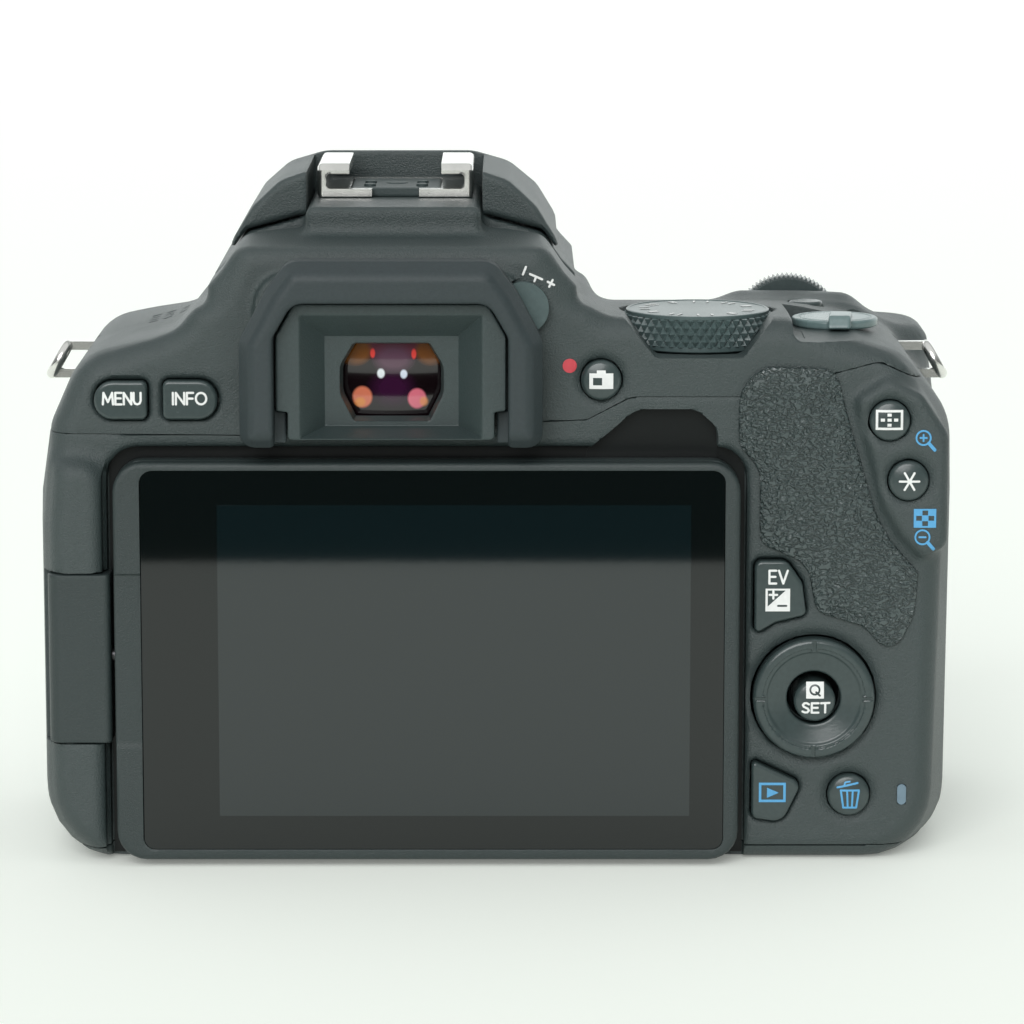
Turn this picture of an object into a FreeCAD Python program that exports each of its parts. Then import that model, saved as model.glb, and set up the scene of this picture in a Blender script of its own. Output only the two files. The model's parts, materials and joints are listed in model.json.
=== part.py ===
import FreeCAD, Part
import math
import os
import re
from FreeCAD import Placement, Rotation, Vector

# A digital single-lens reflex camera, in millimetres.
# The origin is the mouth of the tripod socket, on the base plane and below the lens axis.
# +X points to the right as seen from behind, +Y out through the lens mount, +Z up.

os.makedirs("parts", exist_ok=True)
doc = FreeCAD.newDocument("Camera")

# ---------------------------------------------------------------- driving sizes

SIZES = {
    "body_left": -47.6,
    "body_right": 75.4,
    "body_top": 74.0,
    "rear_face": -29.0,
    "rear_inside": -24.4,
    "recess_floor": -26.3,
    "front_face": 17.0,
    "front_inside": 15.0,
    "wall": 2.0,
    "seam": 0.12,
    "cover_split": 58.3,
    "front_split": -12.0,
    "hump_top": 83.2,
    "grip_front": 31.0,
    "mount_height": 37.5,
    "mount_face": 32.0,
    "mount_radius": 31.0,
    "throat_radius": 25.5,
    "boss_radius": 34.5,
    "boss_front": 28.5,
    "screen_left": -37.5,
    "screen_right": 46.6,
    "screen_low": 0.75,
    "screen_high": 55.8,
    "screen_outer": -32.5,
    "screen_joint": -30.2,
    "screen_inner": -26.9,
    "glass_left": -33.6,
    "glass_right": 44.4,
    "glass_low": 2.3,
    "glass_high": 54.35,
    "swing_x": -43.5,
    "swing_y": -29.7,
    "pin_radius": 1.2,
    "arm_low": 16.7,
    "arm_high": 39.8,
    "tilt_height": 28.3,
    "tilt_depth": -28.55,
    "tilt_radius": 0.9,
    "running_fit": 0.05,
    "button_gap": 0.15,
    "button_top": -30.1,
    "button_back": -24.6,
    "pod_face": -30.6,
    "plinth_face": -30.6,
    "band_face": -31.6,
    "rubber_face": -29.9,
    "dial_x": 41.3,
    "dial_y": -14.0,
    "dial_low": 68.6,
    "dial_high": 73.6,
    "dial_radius": 10.2,
    "wheel_x": 55.6,
    "wheel_y": 19.5,
    "wheel_z": 66.6,
    "wheel_radius": 7.8,
    "switch_x": 60.3,
    "switch_y": -10.0,
    "switch_z": 70.6,
    "switch_radius": 5.9,
    "shutter_x": 57.5,
    "shutter_y": 26.4,
    "release_x": -38.6,
    "release_z": 26.0,
    "socket_radius": 2.55,
    "socket_depth": 5.5,
    "shoe_low": 88.0,
    "shoe_high": 92.7,
    "shoe_half": 10.7,
    "shoe_gap": 6.7,
    "shoe_rear": -8.0,
    "shoe_front": 10.0,
    "pad_x": 56.7,
    "pad_z": 22.6,
    "pad_radius": 8.2,
    "pad_bore": 3.6,
    "cup_outer": -37.8,
    "cup_inner": -31.0,
    "mirror_hinge_y": -3.0,
    "mirror_hinge_z": 47.0,
    "door_left": 50.5,
    "door_right": 72.5,
    "door_rear": -13.0,
    "door_front": 27.0,
    "door_thick": 2.0,
}

sheet = doc.addObject("Spreadsheet::Sheet", "Sizes")
for row, (alias, value) in enumerate(SIZES.items(), start=1):
    sheet.set("A%d" % row, alias)
    sheet.set("B%d" % row, str(value))
    sheet.setAlias("B%d" % row, alias)
doc.recompute()


def size(text):
    """The value in millimetres of an expression over the sheet's aliases."""
    if not isinstance(text, str):
        return float(text)
    total = 0.0
    for sign, term in re.findall(r"([+-]?)\s*([\w.]+)", text):
        value = SIZES[term] if term in SIZES else float(term)
        total += -value if sign == "-" else value
    return total


def bind(item, prop, text):
    """Bind a property to an expression in which a plain word is an alias of the sheet."""
    item.setExpression(prop, re.sub(r"([a-z]\w+)", r"Sizes.\1", str(text)))


def bind_place(item, x, y, z):
    for prop, text in zip("xyz", (x, y, z)):
        bind(item, "Placement.Base." + prop, text)


# ---------------------------------------------------------------- building blocks

TO_REAR = Rotation(Vector(1, 0, 0), 90)  # sketch x -> +X, sketch y -> +Z, pad -> -Y
TO_RIGHT = Rotation(Vector(1, 1, 1), 120)  # sketch x -> +Y, sketch y -> +Z, pad -> +X
UP = Rotation()
AXIS_TURNS = {"x": Rotation(Vector(0, 1, 0), 90), "y": Rotation(Vector(1, 0, 0), -90), "z": UP}


def box(name, x, y, z):
    """A box between pairs of expressions on each axis."""
    item = doc.addObject("Part::Box", name)
    for prop, (low, high) in zip(("Length", "Width", "Height"), (x, y, z)):
        bind(item, prop, "(%s) - (%s)" % (high, low))
    bind_place(item, x[0], y[0], z[0])
    return item


def cylinder(name, axis, x, y, z, radius, length):
    """A cylinder that starts at a point and runs along +X, +Y or +Z."""
    item = doc.addObject("Part::Cylinder", name)
    bind(item, "Radius", radius)
    bind(item, "Height", length)
    item.Placement = Placement(Vector(), AXIS_TURNS[axis])
    bind_place(item, x, y, z)
    return item


def fuse(name, *items):
    item = doc.addObject("Part::MultiFuse", name)
    item.Shapes = list(items)
    item.Refine = True
    return item


def cut(name, base, *tools):
    item = doc.addObject("Part::Cut", name)
    item.Base = base
    item.Tool = tools[0] if len(tools) == 1 else fuse(name + "_tools", *tools)
    item.Refine = False
    return item


def common(name, base, tool):
    item = doc.addObject("Part::Common", name)
    item.Base = base
    item.Tool = tool
    return item


def outline_edges(points):
    """Lines and corner arcs of a closed outline whose points are (u, v, corner radius)."""
    count = len(points)
    stops = []
    for i, point in enumerate(points):
        u, v, radius = point if len(point) == 3 else (point[0], point[1], 0)
        here = Vector(u, v, 0)
        back = (Vector(points[i - 1][0], points[i - 1][1], 0) - here).normalize()
        ahead = (Vector(points[(i + 1) % count][0], points[(i + 1) % count][1], 0) - here).normalize()
        half = back.getAngle(ahead) / 2
        if radius and half < math.radians(89):
            reach = radius / math.tan(half)
            middle = (back + ahead).normalize() * (radius / math.sin(half) - radius)
            stops.append((here + back * reach, here + middle, here + ahead * reach))
        else:
            stops.append((here, None, here))
    edges = []
    for i, (start, middle, end) in enumerate(stops):
        if middle:
            edges.append(Part.Arc(start, middle, end))
        following = stops[(i + 1) % count][0]
        if (following - end).Length > 1e-4:
            edges.append(Part.LineSegment(end, following))
    return edges


def origin_plane(body, role):
    return [part for part in body.Origin.OriginFeatures if part.Role == role][0]


def plate(name, edges, depth, turn, x=0, y=0, z=0, rounding=(), chamfer=0):
    """A padded outline. rounding lists (end, radius): the rim at the pad's start 0 or end 1."""
    body = doc.addObject("PartDesign::Body", name)
    sketch = body.newObject("Sketcher::SketchObject", name + "_sketch")
    sketch.AttachmentSupport = [(origin_plane(body, "XY_Plane"), "")]
    sketch.MapMode = "FlatFace"
    for edge in edges:
        sketch.addGeometry(edge, False)
    pad = body.newObject("PartDesign::Pad", name + "_pad")
    pad.Profile = sketch
    bind(pad, "Length", depth)
    doc.recompute()
    for end, radius in rounding:
        level = pad.Length.Value * end
        kind = "PartDesign::Chamfer" if chamfer else "PartDesign::Fillet"
        solid = body.Tip.Shape
        rim = [
            "Edge%d" % (i + 1)
            for i, edge in enumerate(solid.Edges)
            if all(abs(corner.Point.z - level) < 1e-4 for corner in edge.Vertexes)
            and abs(edge.CenterOfMass.z - level) < 1e-4
        ]
        feature = body.newObject(kind, "%s_round%d" % (name, end))
        feature.Base = (body.Tip if body.Tip != feature else pad, rim)
        if chamfer:
            feature.Size = radius
        else:
            feature.Radius = radius
        body.Tip = feature
        doc.recompute()
    body.Placement = Placement(Vector(), turn)
    bind_place(body, x, y, z)
    return body


def rear_plate(name, points, low, high, rounding=(), chamfer=0):
    """An outline in X and Z, filled from y = low (the rear side) to y = high."""
    return plate(name, outline_edges(points), "(%s) - (%s)" % (high, low), TO_REAR, 0, high, 0, rounding, chamfer)


def top_plate(name, points, low, high, rounding=(), chamfer=0):
    """An outline in X and Y, filled from z = low to z = high."""
    return plate(name, outline_edges(points), "(%s) - (%s)" % (high, low), UP, 0, 0, low, rounding, chamfer)


def side_plate(name, points, low, high, rounding=()):
    """An outline in Y and Z, filled from x = low to x = high."""
    return plate(name, outline_edges(points), "(%s) - (%s)" % (high, low), TO_RIGHT, low, 0, 0, rounding)


def rectangle(left, right, low, high, radius=0):
    left, right, low, high = size(left), size(right), size(low), size(high)
    return [(left, low, radius), (right, low, radius), (right, high, radius), (left, high, radius)]


def mirrored(points):
    """The points and their mirror images across the lens axis, as one outline."""
    return points + [(-u, v, r) for u, v, r in reversed(points)]


def inset(points, wall):
    """The outline moved inwards by a wall; the outline runs anticlockwise."""
    count = len(points)
    moved = []
    for i, (u, v, radius) in enumerate(points):
        before = Vector(u - points[i - 1][0], v - points[i - 1][1], 0).normalize()
        after = Vector(points[(i + 1) % count][0] - u, points[(i + 1) % count][1] - v, 0).normalize()
        inward_before = Vector(-before.y, before.x, 0)
        inward_after = Vector(-after.y, after.x, 0)
        middle = (inward_before + inward_after).normalize()
        shift = middle * (wall / middle.dot(inward_after))
        moved.append((u + shift.x, v + shift.y, max(radius - wall, 0.5) if radius else 0))
    return moved


nodes = []


def node(name, item):
    """Name a finished sub-part; its label names its file."""
    item.Label = name
    nodes.append(item)
    return item


wall = size("wall")
seam = size("seam")

# ---------------------------------------------------------------- the outer form of the casing

CORE = [
    (size("body_left"), 0, 8.5),
    (size("body_right"), 0, 7.5),
    (size("body_right"), 60, 10),
    (69.0, 69.6, 7),
    (53.0, size("body_top"), 8),
    (27.0, size("body_top"), 0),
    (-26.0, 73.6, 0),
    (-32.5, 71.6, 8),
    (-42.4, 69.2, 7),
    (-46.2, 60.0, 8),
    (size("body_left"), 50.0, 0),
]
HUMP = [
    (26.8, 66.0, 0),
    (26.8, 74.6, 2),
    (23.6, 76.0, 3),
    (20.0, size("hump_top"), 2.5),
    (-20.0, size("hump_top"), 2.5),
    (-23.6, 76.0, 3),
    (-27.5, 73.4, 2),
    (-27.5, 66.0, 0),
]
ARM_SEAT = [
    (24.6, 66.0, 0),
    (24.6, 78.2, 0.6),
    (22.9, 80.0, 1),
    (20.1, 83.8, 2),
    (12.6, 85.8, 0.5),
    (-12.6, 85.8, 0.5),
    (-20.1, 83.8, 2),
    (-22.9, 80.0, 1),
    (-24.6, 78.2, 0.6),
    (-24.6, 66.0, 0),
]
GRIP = [
    (45.0, 8.0, 0),
    (66.0, 8.0, 0),
    (size("body_right"), 8.0, 6),
    (size("body_right"), 26.0, 8),
    (67.0, size("grip_front"), 8),
    (50.0, size("grip_front"), 6),
    (45.0, 14.0, 3),
]
HINGE_BAND = [(-46.8, 6.0, 4), (-43.0, 1.6, 4), (-38.4, 1.6, 0), (-38.4, 56.4, 0), (-46.2, 56.4, 2)]
BUTTON_POD = [
    (61.9, 63.2, 1.2),
    (65.7, 48.6, 5),
    (68.0, 44.8, 4),
    (71.0, 41.6, 1.4),
    (74.4, 43.4, 2),
    (74.4, 58.6, 3),
    (70.8, 64.0, 2.5),
    (66.2, 66.2, 2),
]
TOP_BREAK = -12.0
TOP_SLOPE = 6.0
RAMP_FOOT = -28.5
RAMP_LOW = 82.7
RAMP_SLOPE = 10.5
WHEEL_RIDGE = [
    (10.0, 60.0, 0),
    (23.6, 60.0, 0),
    (23.6, 67.0, 1.2),
    (21.6, 69.8, 2),
    (13.5, 72.2, 4),
    (10.0, 70.5, 0),
]


def casing_form(name, inside):
    """The casing's outer form, or the form of the space inside its walls."""
    drop = wall if inside else 0
    rear = "rear_inside" if inside else "rear_face"
    front = "front_inside" if inside else "front_face"
    rounding = [] if inside else [(1, 2.4), (0, 1.8)]
    shrink = (lambda points: inset(points, drop)) if inside else (lambda points: points)
    block = rear_plate(name + "_core", shrink(CORE), rear, front, rounding)
    slope = box(name + "_slope", (-60, 90), (-20, 60), (0, 30))
    slope_foot = Vector(-60, TOP_BREAK, size("body_top") - drop)
    slope.Placement = Placement(slope_foot, Rotation(Vector(1, 0, 0), -TOP_SLOPE))
    for axis in "xyz":
        slope.setExpression("Placement.Base." + axis, None)
    core = cut(name + "_sloped", block, slope)
    hump_sides = HUMP if not inside else [(u * 0.91, min(v, 80.9), r) for u, v, r in HUMP]
    hump = rear_plate(name + "_hump", hump_sides, rear, front, [] if inside else [(1, 1.6)])
    grip = top_plate(name + "_grip", shrink(GRIP), drop, 68 - drop, [] if inside else [(1, 3), (0, 1.8)])
    boss = cylinder(
        name + "_boss",
        "y",
        0,
        10,
        "mount_height",
        "boss_radius - %s" % drop,
        "boss_front - 10 - %s" % drop,
    )
    pieces = [core, hump, grip, boss]
    if not inside:
        pieces.append(rear_plate(name + "_arm_seat", ARM_SEAT, -12.6, 22.5))
        pieces.append(rear_plate(name + "_shoe_block", rectangle(-11.8, 11.8, 80, 88), -20.5, "shoe_front + 2.6"))
        ramp = rear_plate(name + "_ramp", ARM_SEAT, "rear_face + 1", -15.4)
        ramp_slope = box(name + "_ramp_slope", (-40, 40), (-20, 60), (0, 30))
        ramp_slope.Placement = Placement(Vector(-40, RAMP_FOOT, RAMP_LOW), Rotation(Vector(1, 0, 0), RAMP_SLOPE))
        for axis in "xyz":
            ramp_slope.setExpression("Placement.Base." + axis, None)
        pieces.append(cut(name + "_ramp_cut", ramp, ramp_slope))
        pieces.append(side_plate(name + "_wheel_ridge", WHEEL_RIDGE, 47.0, 64.6, [(0, 0.8), (1, 0.8)]))
        pieces.append(rear_plate(name + "_plinth", rectangle(-18.4, 18.4, 58.5, 80.4, 5), "plinth_face", -27))
        pieces.append(rear_plate(name + "_pod", BUTTON_POD, "pod_face", -27, [(1, 1.0)]))
        pieces.append(rear_plate(name + "_band", HINGE_BAND, "band_face", -27, [(1, 0.8)]))
    return fuse(name, *pieces)


outer_form = casing_form("outer_form", False)
inner_form = casing_form("inner_form", True)

# ---------------------------------------------------------------- openings through the casing

def at_switch(item):
    """Move a piece built upright at the origin to the power switch's place."""
    item.recompute()
    place = Vector(size("switch_x"), size("switch_y"), size("switch_z"))
    item.Placement = Placement(place, Rotation()).multiply(item.Placement)
    for axis in "xyz":
        item.setExpression("Placement.Base." + axis, None)
    return item


FINGER_RECESS = [
    (25.9, 50, 0),
    (43.6, 50, 0),
    (43.6, 59.5, 1),
    (41.3, 61.7, 1.2),
    (33.1, 61.7, 1.5),
    (25.9, 56.05, 1),
]

# Each rear button: centre x, centre z, radius.
ROUND_BUTTONS = {
    "live_view_button": (27.9, 65.8, 2.7),
    "af_point_button": (66.4, 60.5, 2.7),
    "ae_lock_button": (69.0, 52.4, 2.7),
    "erase_button": (61.6, 9.1, 2.85),
    "set_button": (56.8, 22.3, 2.8),
}
# Each shaped rear button: outline points with corner radii.
SHAPED_BUTTONS = {
    "menu_button": [(-39.8, 60.55, 2.5), (-32.7, 60.55, 0.8), (-32.7, 65.7, 0.8), (-39.8, 65.7, 2.5)],
    "info_button": [(-30.6, 60.55, 0.8), (-23.3, 60.55, 2.5), (-23.3, 65.8, 2.5), (-30.6, 65.8, 0.8)],
    "exposure_button": [
        (48.6, 31.3, 0.6),
        (51.5, 33.0, 2),
        (55.6, 34.0, 0.8),
        (55.0, 38.4, 2),
        (52.9, 41.4, 1.6),
        (48.6, 41.4, 1),
    ],
    "playback_button": [(48.4, 6.0, 1), (52.6, 5.4, 2), (55.2, 10.8, 1.2), (48.4, 14.0, 0.5)],
}
BOTTOM_SCREWS = [(-40, 10), (-40, -20), (30, 12), (20, -22)]
MOUNT_SCREW_RADIUS = 28.6
mount_screw_places = []
for i in range(4):
    angle = math.radians(45 + 90 * i)
    x = MOUNT_SCREW_RADIUS * math.cos(angle)
    z = size("mount_height") + MOUNT_SCREW_RADIUS * math.sin(angle)
    mount_screw_places.append((x, z))
LUG_Y = 2.0
LUG_Z = 64.4
LEFT_LUG_X = -47.4
RIGHT_LUG_X = 75.2
LUG_LOOP = 2.25
LUG_LEAN = 30
LUG_WIRE = 0.75
LUG_BAR = 0.6
LAMP = rectangle(68.2, 69.4, 7.7, 10.5, 0.59)

hole_tools = []
for name, (x, z, radius) in ROUND_BUTTONS.items():
    if name != "set_button":
        bore = cylinder(name + "_bore", "y", x, -33, z, "%s + button_gap" % radius, 10)
        hole_tools.append(bore)
for name, points in SHAPED_BUTTONS.items():
    bore = rear_plate(name + "_bore", inset(points, -size("button_gap")), -33, -23)
    hole_tools.append(bore)
hole_tools += [
    rear_plate("lamp_bore", inset(LAMP, -0.03), -33, -23),
    cylinder("pad_well", "y", "pad_x", -33, "pad_z", "pad_radius + 0.35", 10),
    box("screen_recess", ("screen_left - 0.6", 47.5), (-33, "recess_floor"), (-1, "screen_high + 0.35")),
    box("arm_recess", (-49, "screen_left"), (-33, "recess_floor"), ("arm_low - 0.15", "arm_high + 0.15")),
    box("knuckle_foot", (-38.4, "screen_left"), (-33, "recess_floor"), (-1, "screen_high + 0.35")),
    cylinder("pin_bore", "z", "swing_x", "swing_y", 13.2, "pin_radius + running_fit", 30),
    rear_plate("finger_recess", FINGER_RECESS, -33, -26.6),
    rear_plate("eyepiece_hole", rectangle(-12.1, 12.1, 58.8, 75.8, 1.6), -33, -23),
    cylinder("diopter_hole", "y", 17.4, -33, 75.6, 1.3, 10),
    cylinder("diopter_well", "y", 17.4, -33, 75.6, 3.8, 3.9),
    cylinder("dial_recess", "z", "dial_x", "dial_y", "dial_low - 0.3", "dial_radius + 0.5", 20),
    box("dial_scallop", (35, 47.6), (-31, "dial_y"), ("dial_low + 0.6", 80)),
    cylinder("dial_stem_hole", "z", "dial_x", "dial_y", 60, "1.5 + running_fit", 20),
    at_switch(cylinder("switch_stem_hole", "z", 0, 0, -8, "1.5 + running_fit", 20)),
    cylinder("wheel_stem_hole", "y", "wheel_x", "wheel_y - 4.9", "wheel_z", "1.4 + running_fit", 9.8),
    box(
        "wheel_slot",
        ("wheel_x - wheel_radius - 0.5", "wheel_x + wheel_radius + 0.5"),
        ("wheel_y - 2.9", "wheel_y + 2.9"),
        ("wheel_z - wheel_radius - 0.6", 90),
    ),
    box("switch_pocket", (53.9, 67.6), (-31, -3.2), ("switch_z", 80)),
    cylinder("shutter_hole", "z", "shutter_x", "shutter_y", 50, "3.6 + button_gap", 30),
    cylinder("iso_hole", "z", 57.4, 6.5, 60, "2.4 + button_gap", 20),
    cylinder("disp_hole", "z", 65.4, 6.5, 60, "2.0 + button_gap", 20),
    cylinder("throat_hole", "y", 0, 5, "mount_height", 27.2, 40),
    cylinder("lock_pin_hole", "y", -29.0, 12, "mount_height", "1.2 + running_fit", 30),
    cylinder("release_hole", "y", "release_x", 5, "release_z", "3.2 + button_gap", 40),
    cylinder("socket_hole", "z", 0, 0, -2, 5.02, 10),
    box("door_hole", ("door_left", "door_right"), ("door_rear", "door_front"), (-2, "wall + 0.4")),
    box("battery_well", (54, 70), (-7, 26), (-2, 6)),
    box("port_hole", ("body_left - 3", "body_left + 1.1"), (-8, 10), (12, 56)),
    box("left_lug_slot", (-50, -40.5), (LUG_Y - 1.2, LUG_Y + 1.2), (LUG_Z - 3.3, LUG_Z + 3.3)),
    box("right_lug_slot", (68.5, 80), (LUG_Y - 1.2, LUG_Y + 1.2), (LUG_Z - 3.3, LUG_Z + 3.3)),
]
for i, (x, y) in enumerate(BOTTOM_SCREWS):
    hole_tools.append(cylinder("case_hole%d" % i, "z", x, y, -1, 0.85, 8))
    hole_tools.append(cylinder("case_sink%d" % i, "z", x, y, -1, 1.6, 1.85))
mount_holes = []
for i, (x, z) in enumerate(mount_screw_places):
    mount_holes.append(cylinder("mount_hole%d" % i, "y", x, 20, z, 0.85, 20))
    mount_holes.append(cylinder("mount_sink%d" % i, "y", x, "mount_face - 0.75", z, 1.65, 3))
openings = fuse("openings", *hole_tools, *mount_holes)
dial_bed = cylinder("dial_bed", "z", "dial_x", "dial_y", "dial_low - 2.2", "dial_radius + 1.6", 5)
switch_bed = box("switch_bed", (52.4, 68.0), (-27.5, -2.2), ("switch_z - 2.2", "switch_z"))
bedded_form = fuse("bedded_form", cut("hollow_form", outer_form, inner_form), dial_bed, switch_bed)
shell = cut("shell", bedded_form, openings)

# ---------------------------------------------------------------- the four covers

BIG = 100
HALF_SEAM = seam / 2
above_split = box("above_split", (-BIG, BIG), (-BIG, "front_split"), ("cover_split + %s" % HALF_SEAM, 120))
above_front = box("above_front", (-BIG, BIG), ("front_split", BIG), ("cover_split + %s" % HALF_SEAM, 120))
top_zone = fuse("top_zone", above_split, above_front)
rear_zone = box(
    "rear_zone",
    (-BIG, BIG),
    (-BIG, "front_split - %s" % HALF_SEAM),
    ("wall + seam", "cover_split - %s" % HALF_SEAM),
)
front_zone = box(
    "front_zone",
    (-BIG, BIG),
    ("front_split + %s" % HALF_SEAM, BIG),
    ("wall + seam", "cover_split - %s" % HALF_SEAM),
)
bottom_zone = box("bottom_zone", (-BIG, BIG), (-BIG, BIG), (-1, "wall"))

node("top_cover", common("top_cover_cut", shell, top_zone))
node("rear_cover", common("rear_cover_cut", shell, rear_zone))
node("front_cover", common("front_cover_cut", shell, front_zone))
node("bottom_cover", common("bottom_cover_cut", shell, bottom_zone))

# ---------------------------------------------------------------- rubbers, fasteners and trim

THUMB_RUBBER = [
    (46.2, 66.0, 1.6),
    (50.5, 67.8, 2),
    (59.4, 67.4, 2),
    (60.8, 61.6, 4),
    (64.8, 48.0, 6),
    (66.9, 44.1, 5),
    (70.6, 40.0, 1.8),
    (70.3, 34.0, 5),
    (67.2, 27.6, 1.4),
    (63.4, 32.2, 3),
    (56.8, 34.2, 1.2),
    (55.6, 40.8, 3),
    (49.1, 43.6, 1.6),
    (49.1, 53.6, 3),
    (46.2, 57.0, 2),
]
node("thumb_rubber", rear_plate("thumb_rubber_plate", THUMB_RUBBER, "rubber_face", "rear_face", [(1, 0.4)]))

GRIP_SKIN = inset(GRIP, -0.9)
grip_skin_outer = top_plate("grip_skin_outer", GRIP_SKIN, 6, 52, [(1, 0.4), (0, 0.4)])
grip_skin_void = fuse(
    "grip_skin_void",
    top_plate("grip_skin_core", GRIP, 0, 70),
    box("grip_skin_rear", (0, 100), (-5, "front_face + 0.05"), (0, 70)),
    cylinder("grip_skin_boss", "y", 0, 5, "mount_height", "boss_radius + 3", 40),
)
node("grip_rubber", cut("grip_rubber_cut", grip_skin_outer, grip_skin_void))


def screw(name, axis, x, y, z, shank, head, length, sink):
    """A case screw: a shank with a wider head at its far end and a cross slot in the head."""
    stem = cylinder(name + "_stem", axis, x, y, z, shank, length)
    index = "xyz".index(axis)
    top = [x, y, z]
    top[index] += length
    cap = cylinder(name + "_cap", axis, top[0], top[1], top[2], head, 0.7)
    slots = []
    for turn in (0, 1):
        reach = [head * 0.6 if i == (index + 1 + turn) % 3 else 0.22 for i in range(3)]
        spans = [(top[i] - reach[i], top[i] + reach[i]) for i in range(3)]
        spans[index] = (top[index] + 0.7 - sink, top[index] + 2)
        slots.append(box("%s_slot%d" % (name, turn), *spans))
    return cut(name, fuse(name + "_body", stem, cap), *slots)


mount_screws = []
for i, (x, z) in enumerate(mount_screw_places):
    mount_screws.append(screw("mount_screw%d" % i, "y", x, 27.0, z, 0.8, 1.5, 4.3, 0.45))

# The mount ring: a turned flange with a throat and three bayonet lugs inside it.
ring_flange = cylinder(
    "ring_flange",
    "y",
    0,
    "boss_front + 0.05",
    "mount_height",
    "mount_radius",
    "mount_face - boss_front - 0.05",
)
ring_throat = cylinder("ring_throat", "y", 0, 20, "mount_height", "throat_radius + 1.6", 20)
ring_lug_band = cut(
    "ring_lug_band",
    cylinder("lug_band_outer", "y", 0, "mount_face - 3.3", "mount_height", "throat_radius + 1.9", 2.6),
    cylinder("lug_band_inner", "y", 0, 20, "mount_height", "throat_radius", 20),
)
LUG_GAP = 28.0
lug_gaps = []
for i in range(3):
    angle = math.radians(90 + 120 * i)
    spread = math.radians(LUG_GAP / 2)
    reach = 40
    corners = [(0, 0, 0)]
    for side in (-spread, spread):
        corners.append((reach * math.cos(angle + side), reach * math.sin(angle + side), 0))
    gap = rear_plate("lug_gap%d" % i, corners, 20, 40)
    bind(gap, "Placement.Base.z", "mount_height")
    lug_gaps.append(gap)
ring_lugs = cut("ring_lugs", ring_lug_band, *lug_gaps)
ring = fuse("ring", cut("ring_bored", ring_flange, ring_throat), ring_lugs)
lock_notch = cylinder("lock_notch", "y", -29.0, 20, "mount_height", "1.2 + running_fit", 20)
node("lens_mount_ring", cut("ring_drilled", ring, lock_notch, *mount_holes))
node("lens_mount_screws", fuse("mount_screw_set", *mount_screws))

# Screws of the bottom cover, their heads sunk in it.
bottom_screw_set = []
for i, (x, y) in enumerate(BOTTOM_SCREWS):
    item = screw("case_screw%d" % i, "z", x, y, 0, 0.8, 1.5, 3.6, 0.45)
    item.Placement = Placement(Vector(0, 2 * y, 4.4), Rotation(Vector(1, 0, 0), 180))
    bottom_screw_set.append(item)
node("case_screws", fuse("case_screw_set", *bottom_screw_set))

# Two strap lugs: a plate inside the casing and a loop that stands out of its slot.
def strap_lug(name, foot, loop_centre):
    """A lug whose loop, leaning with the casing's shoulder, stands on two bars that run to x = foot."""
    side = math.copysign(1, loop_centre - foot)
    lean = math.radians(LUG_LEAN)
    loop = doc.addObject("Part::Torus", name + "_loop")
    bind(loop, "Radius1", LUG_LOOP)
    bind(loop, "Radius2", LUG_WIRE)
    loop.Placement = Placement(Vector(), Rotation(Vector(0, 1, 0), side * (90 - LUG_LEAN)))
    bind_place(loop, loop_centre, LUG_Y, LUG_Z)
    bars = []
    for i, rise in enumerate((-1, 1)):
        tip = loop_centre - side * rise * LUG_LOOP * math.sin(lean)
        middle = LUG_Z + rise * LUG_LOOP * math.cos(lean)
        low, high = sorted((foot, tip))
        wide = (LUG_Y - LUG_BAR, LUG_Y + LUG_BAR)
        tall = (middle - LUG_BAR, middle + LUG_BAR)
        bars.append(box("%s_bar%d" % (name, i), (low, high), wide, tall))
    return fuse(name, loop, *bars)


left_lug = strap_lug("left_lug", -39.5, LEFT_LUG_X)
right_lug = strap_lug("right_lug", 67.5, RIGHT_LUG_X)
node("strap_lugs", fuse("strap_lug_set", left_lug, right_lug))

# The tripod socket: a flanged steel bush in the bottom cover.
socket_bush = fuse(
    "socket_bush",
    cylinder("socket_wall", "z", 0, 0, 0, 4.97, 6.5),
    cylinder("socket_flange", "z", 0, 0, "wall + 0.02", 7.5, 1.2),
)
socket_bore = cylinder("socket_bore", "z", 0, 0, -1, "socket_radius", "socket_depth + 1")
node("tripod_socket", cut("socket_cut", socket_bush, socket_bore))

# ---------------------------------------------------------------- battery door, battery and card

door_panel = box(
    "door_panel",
    ("door_left + 0.5", "door_right - 0.3"),
    ("door_rear + 0.3", "door_front - 0.3"),
    (0.25, "door_thick"),
)
door_thumb_slot = box("door_thumb_slot", ("door_right - 6.2", "door_right - 1.8"), (2.8, 11.2), (-1, 5))
node("battery_door", cut("battery_door_cut", door_panel, door_thumb_slot))
latch_slide = box("latch_slide", ("door_right - 4.4", "door_right - 2.1"), (3.1, 10.9), (0.5, 1.8))
latch_grips = [
    box("latch_grip%d" % i, ("door_right - 4.1", "door_right - 2.4"), (4.2 + 1.7 * i, 4.8 + 1.7 * i), (0.3, 0.6))
    for i in range(4)
]
node("battery_door_latch", fuse("latch", latch_slide, *latch_grips))

BATTERY = rectangle(55.0, 69.0, -6.0, 25.5, 2)
node("battery", top_plate("battery_can", BATTERY, 2.6, 50.0, [(1, 0.6), (0, 0.6)]))
CARD = [(0.0, 4.0, 0.6), (23.0, 4.0, 0.6), (23.0, 33.0, 3.2), (20.0, 36.0, 3.2), (0.0, 36.0, 0.6)]
node("memory_card", side_plate("card", CARD, 51.0, 53.1))

# ---------------------------------------------------------------- vari-angle display

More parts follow.
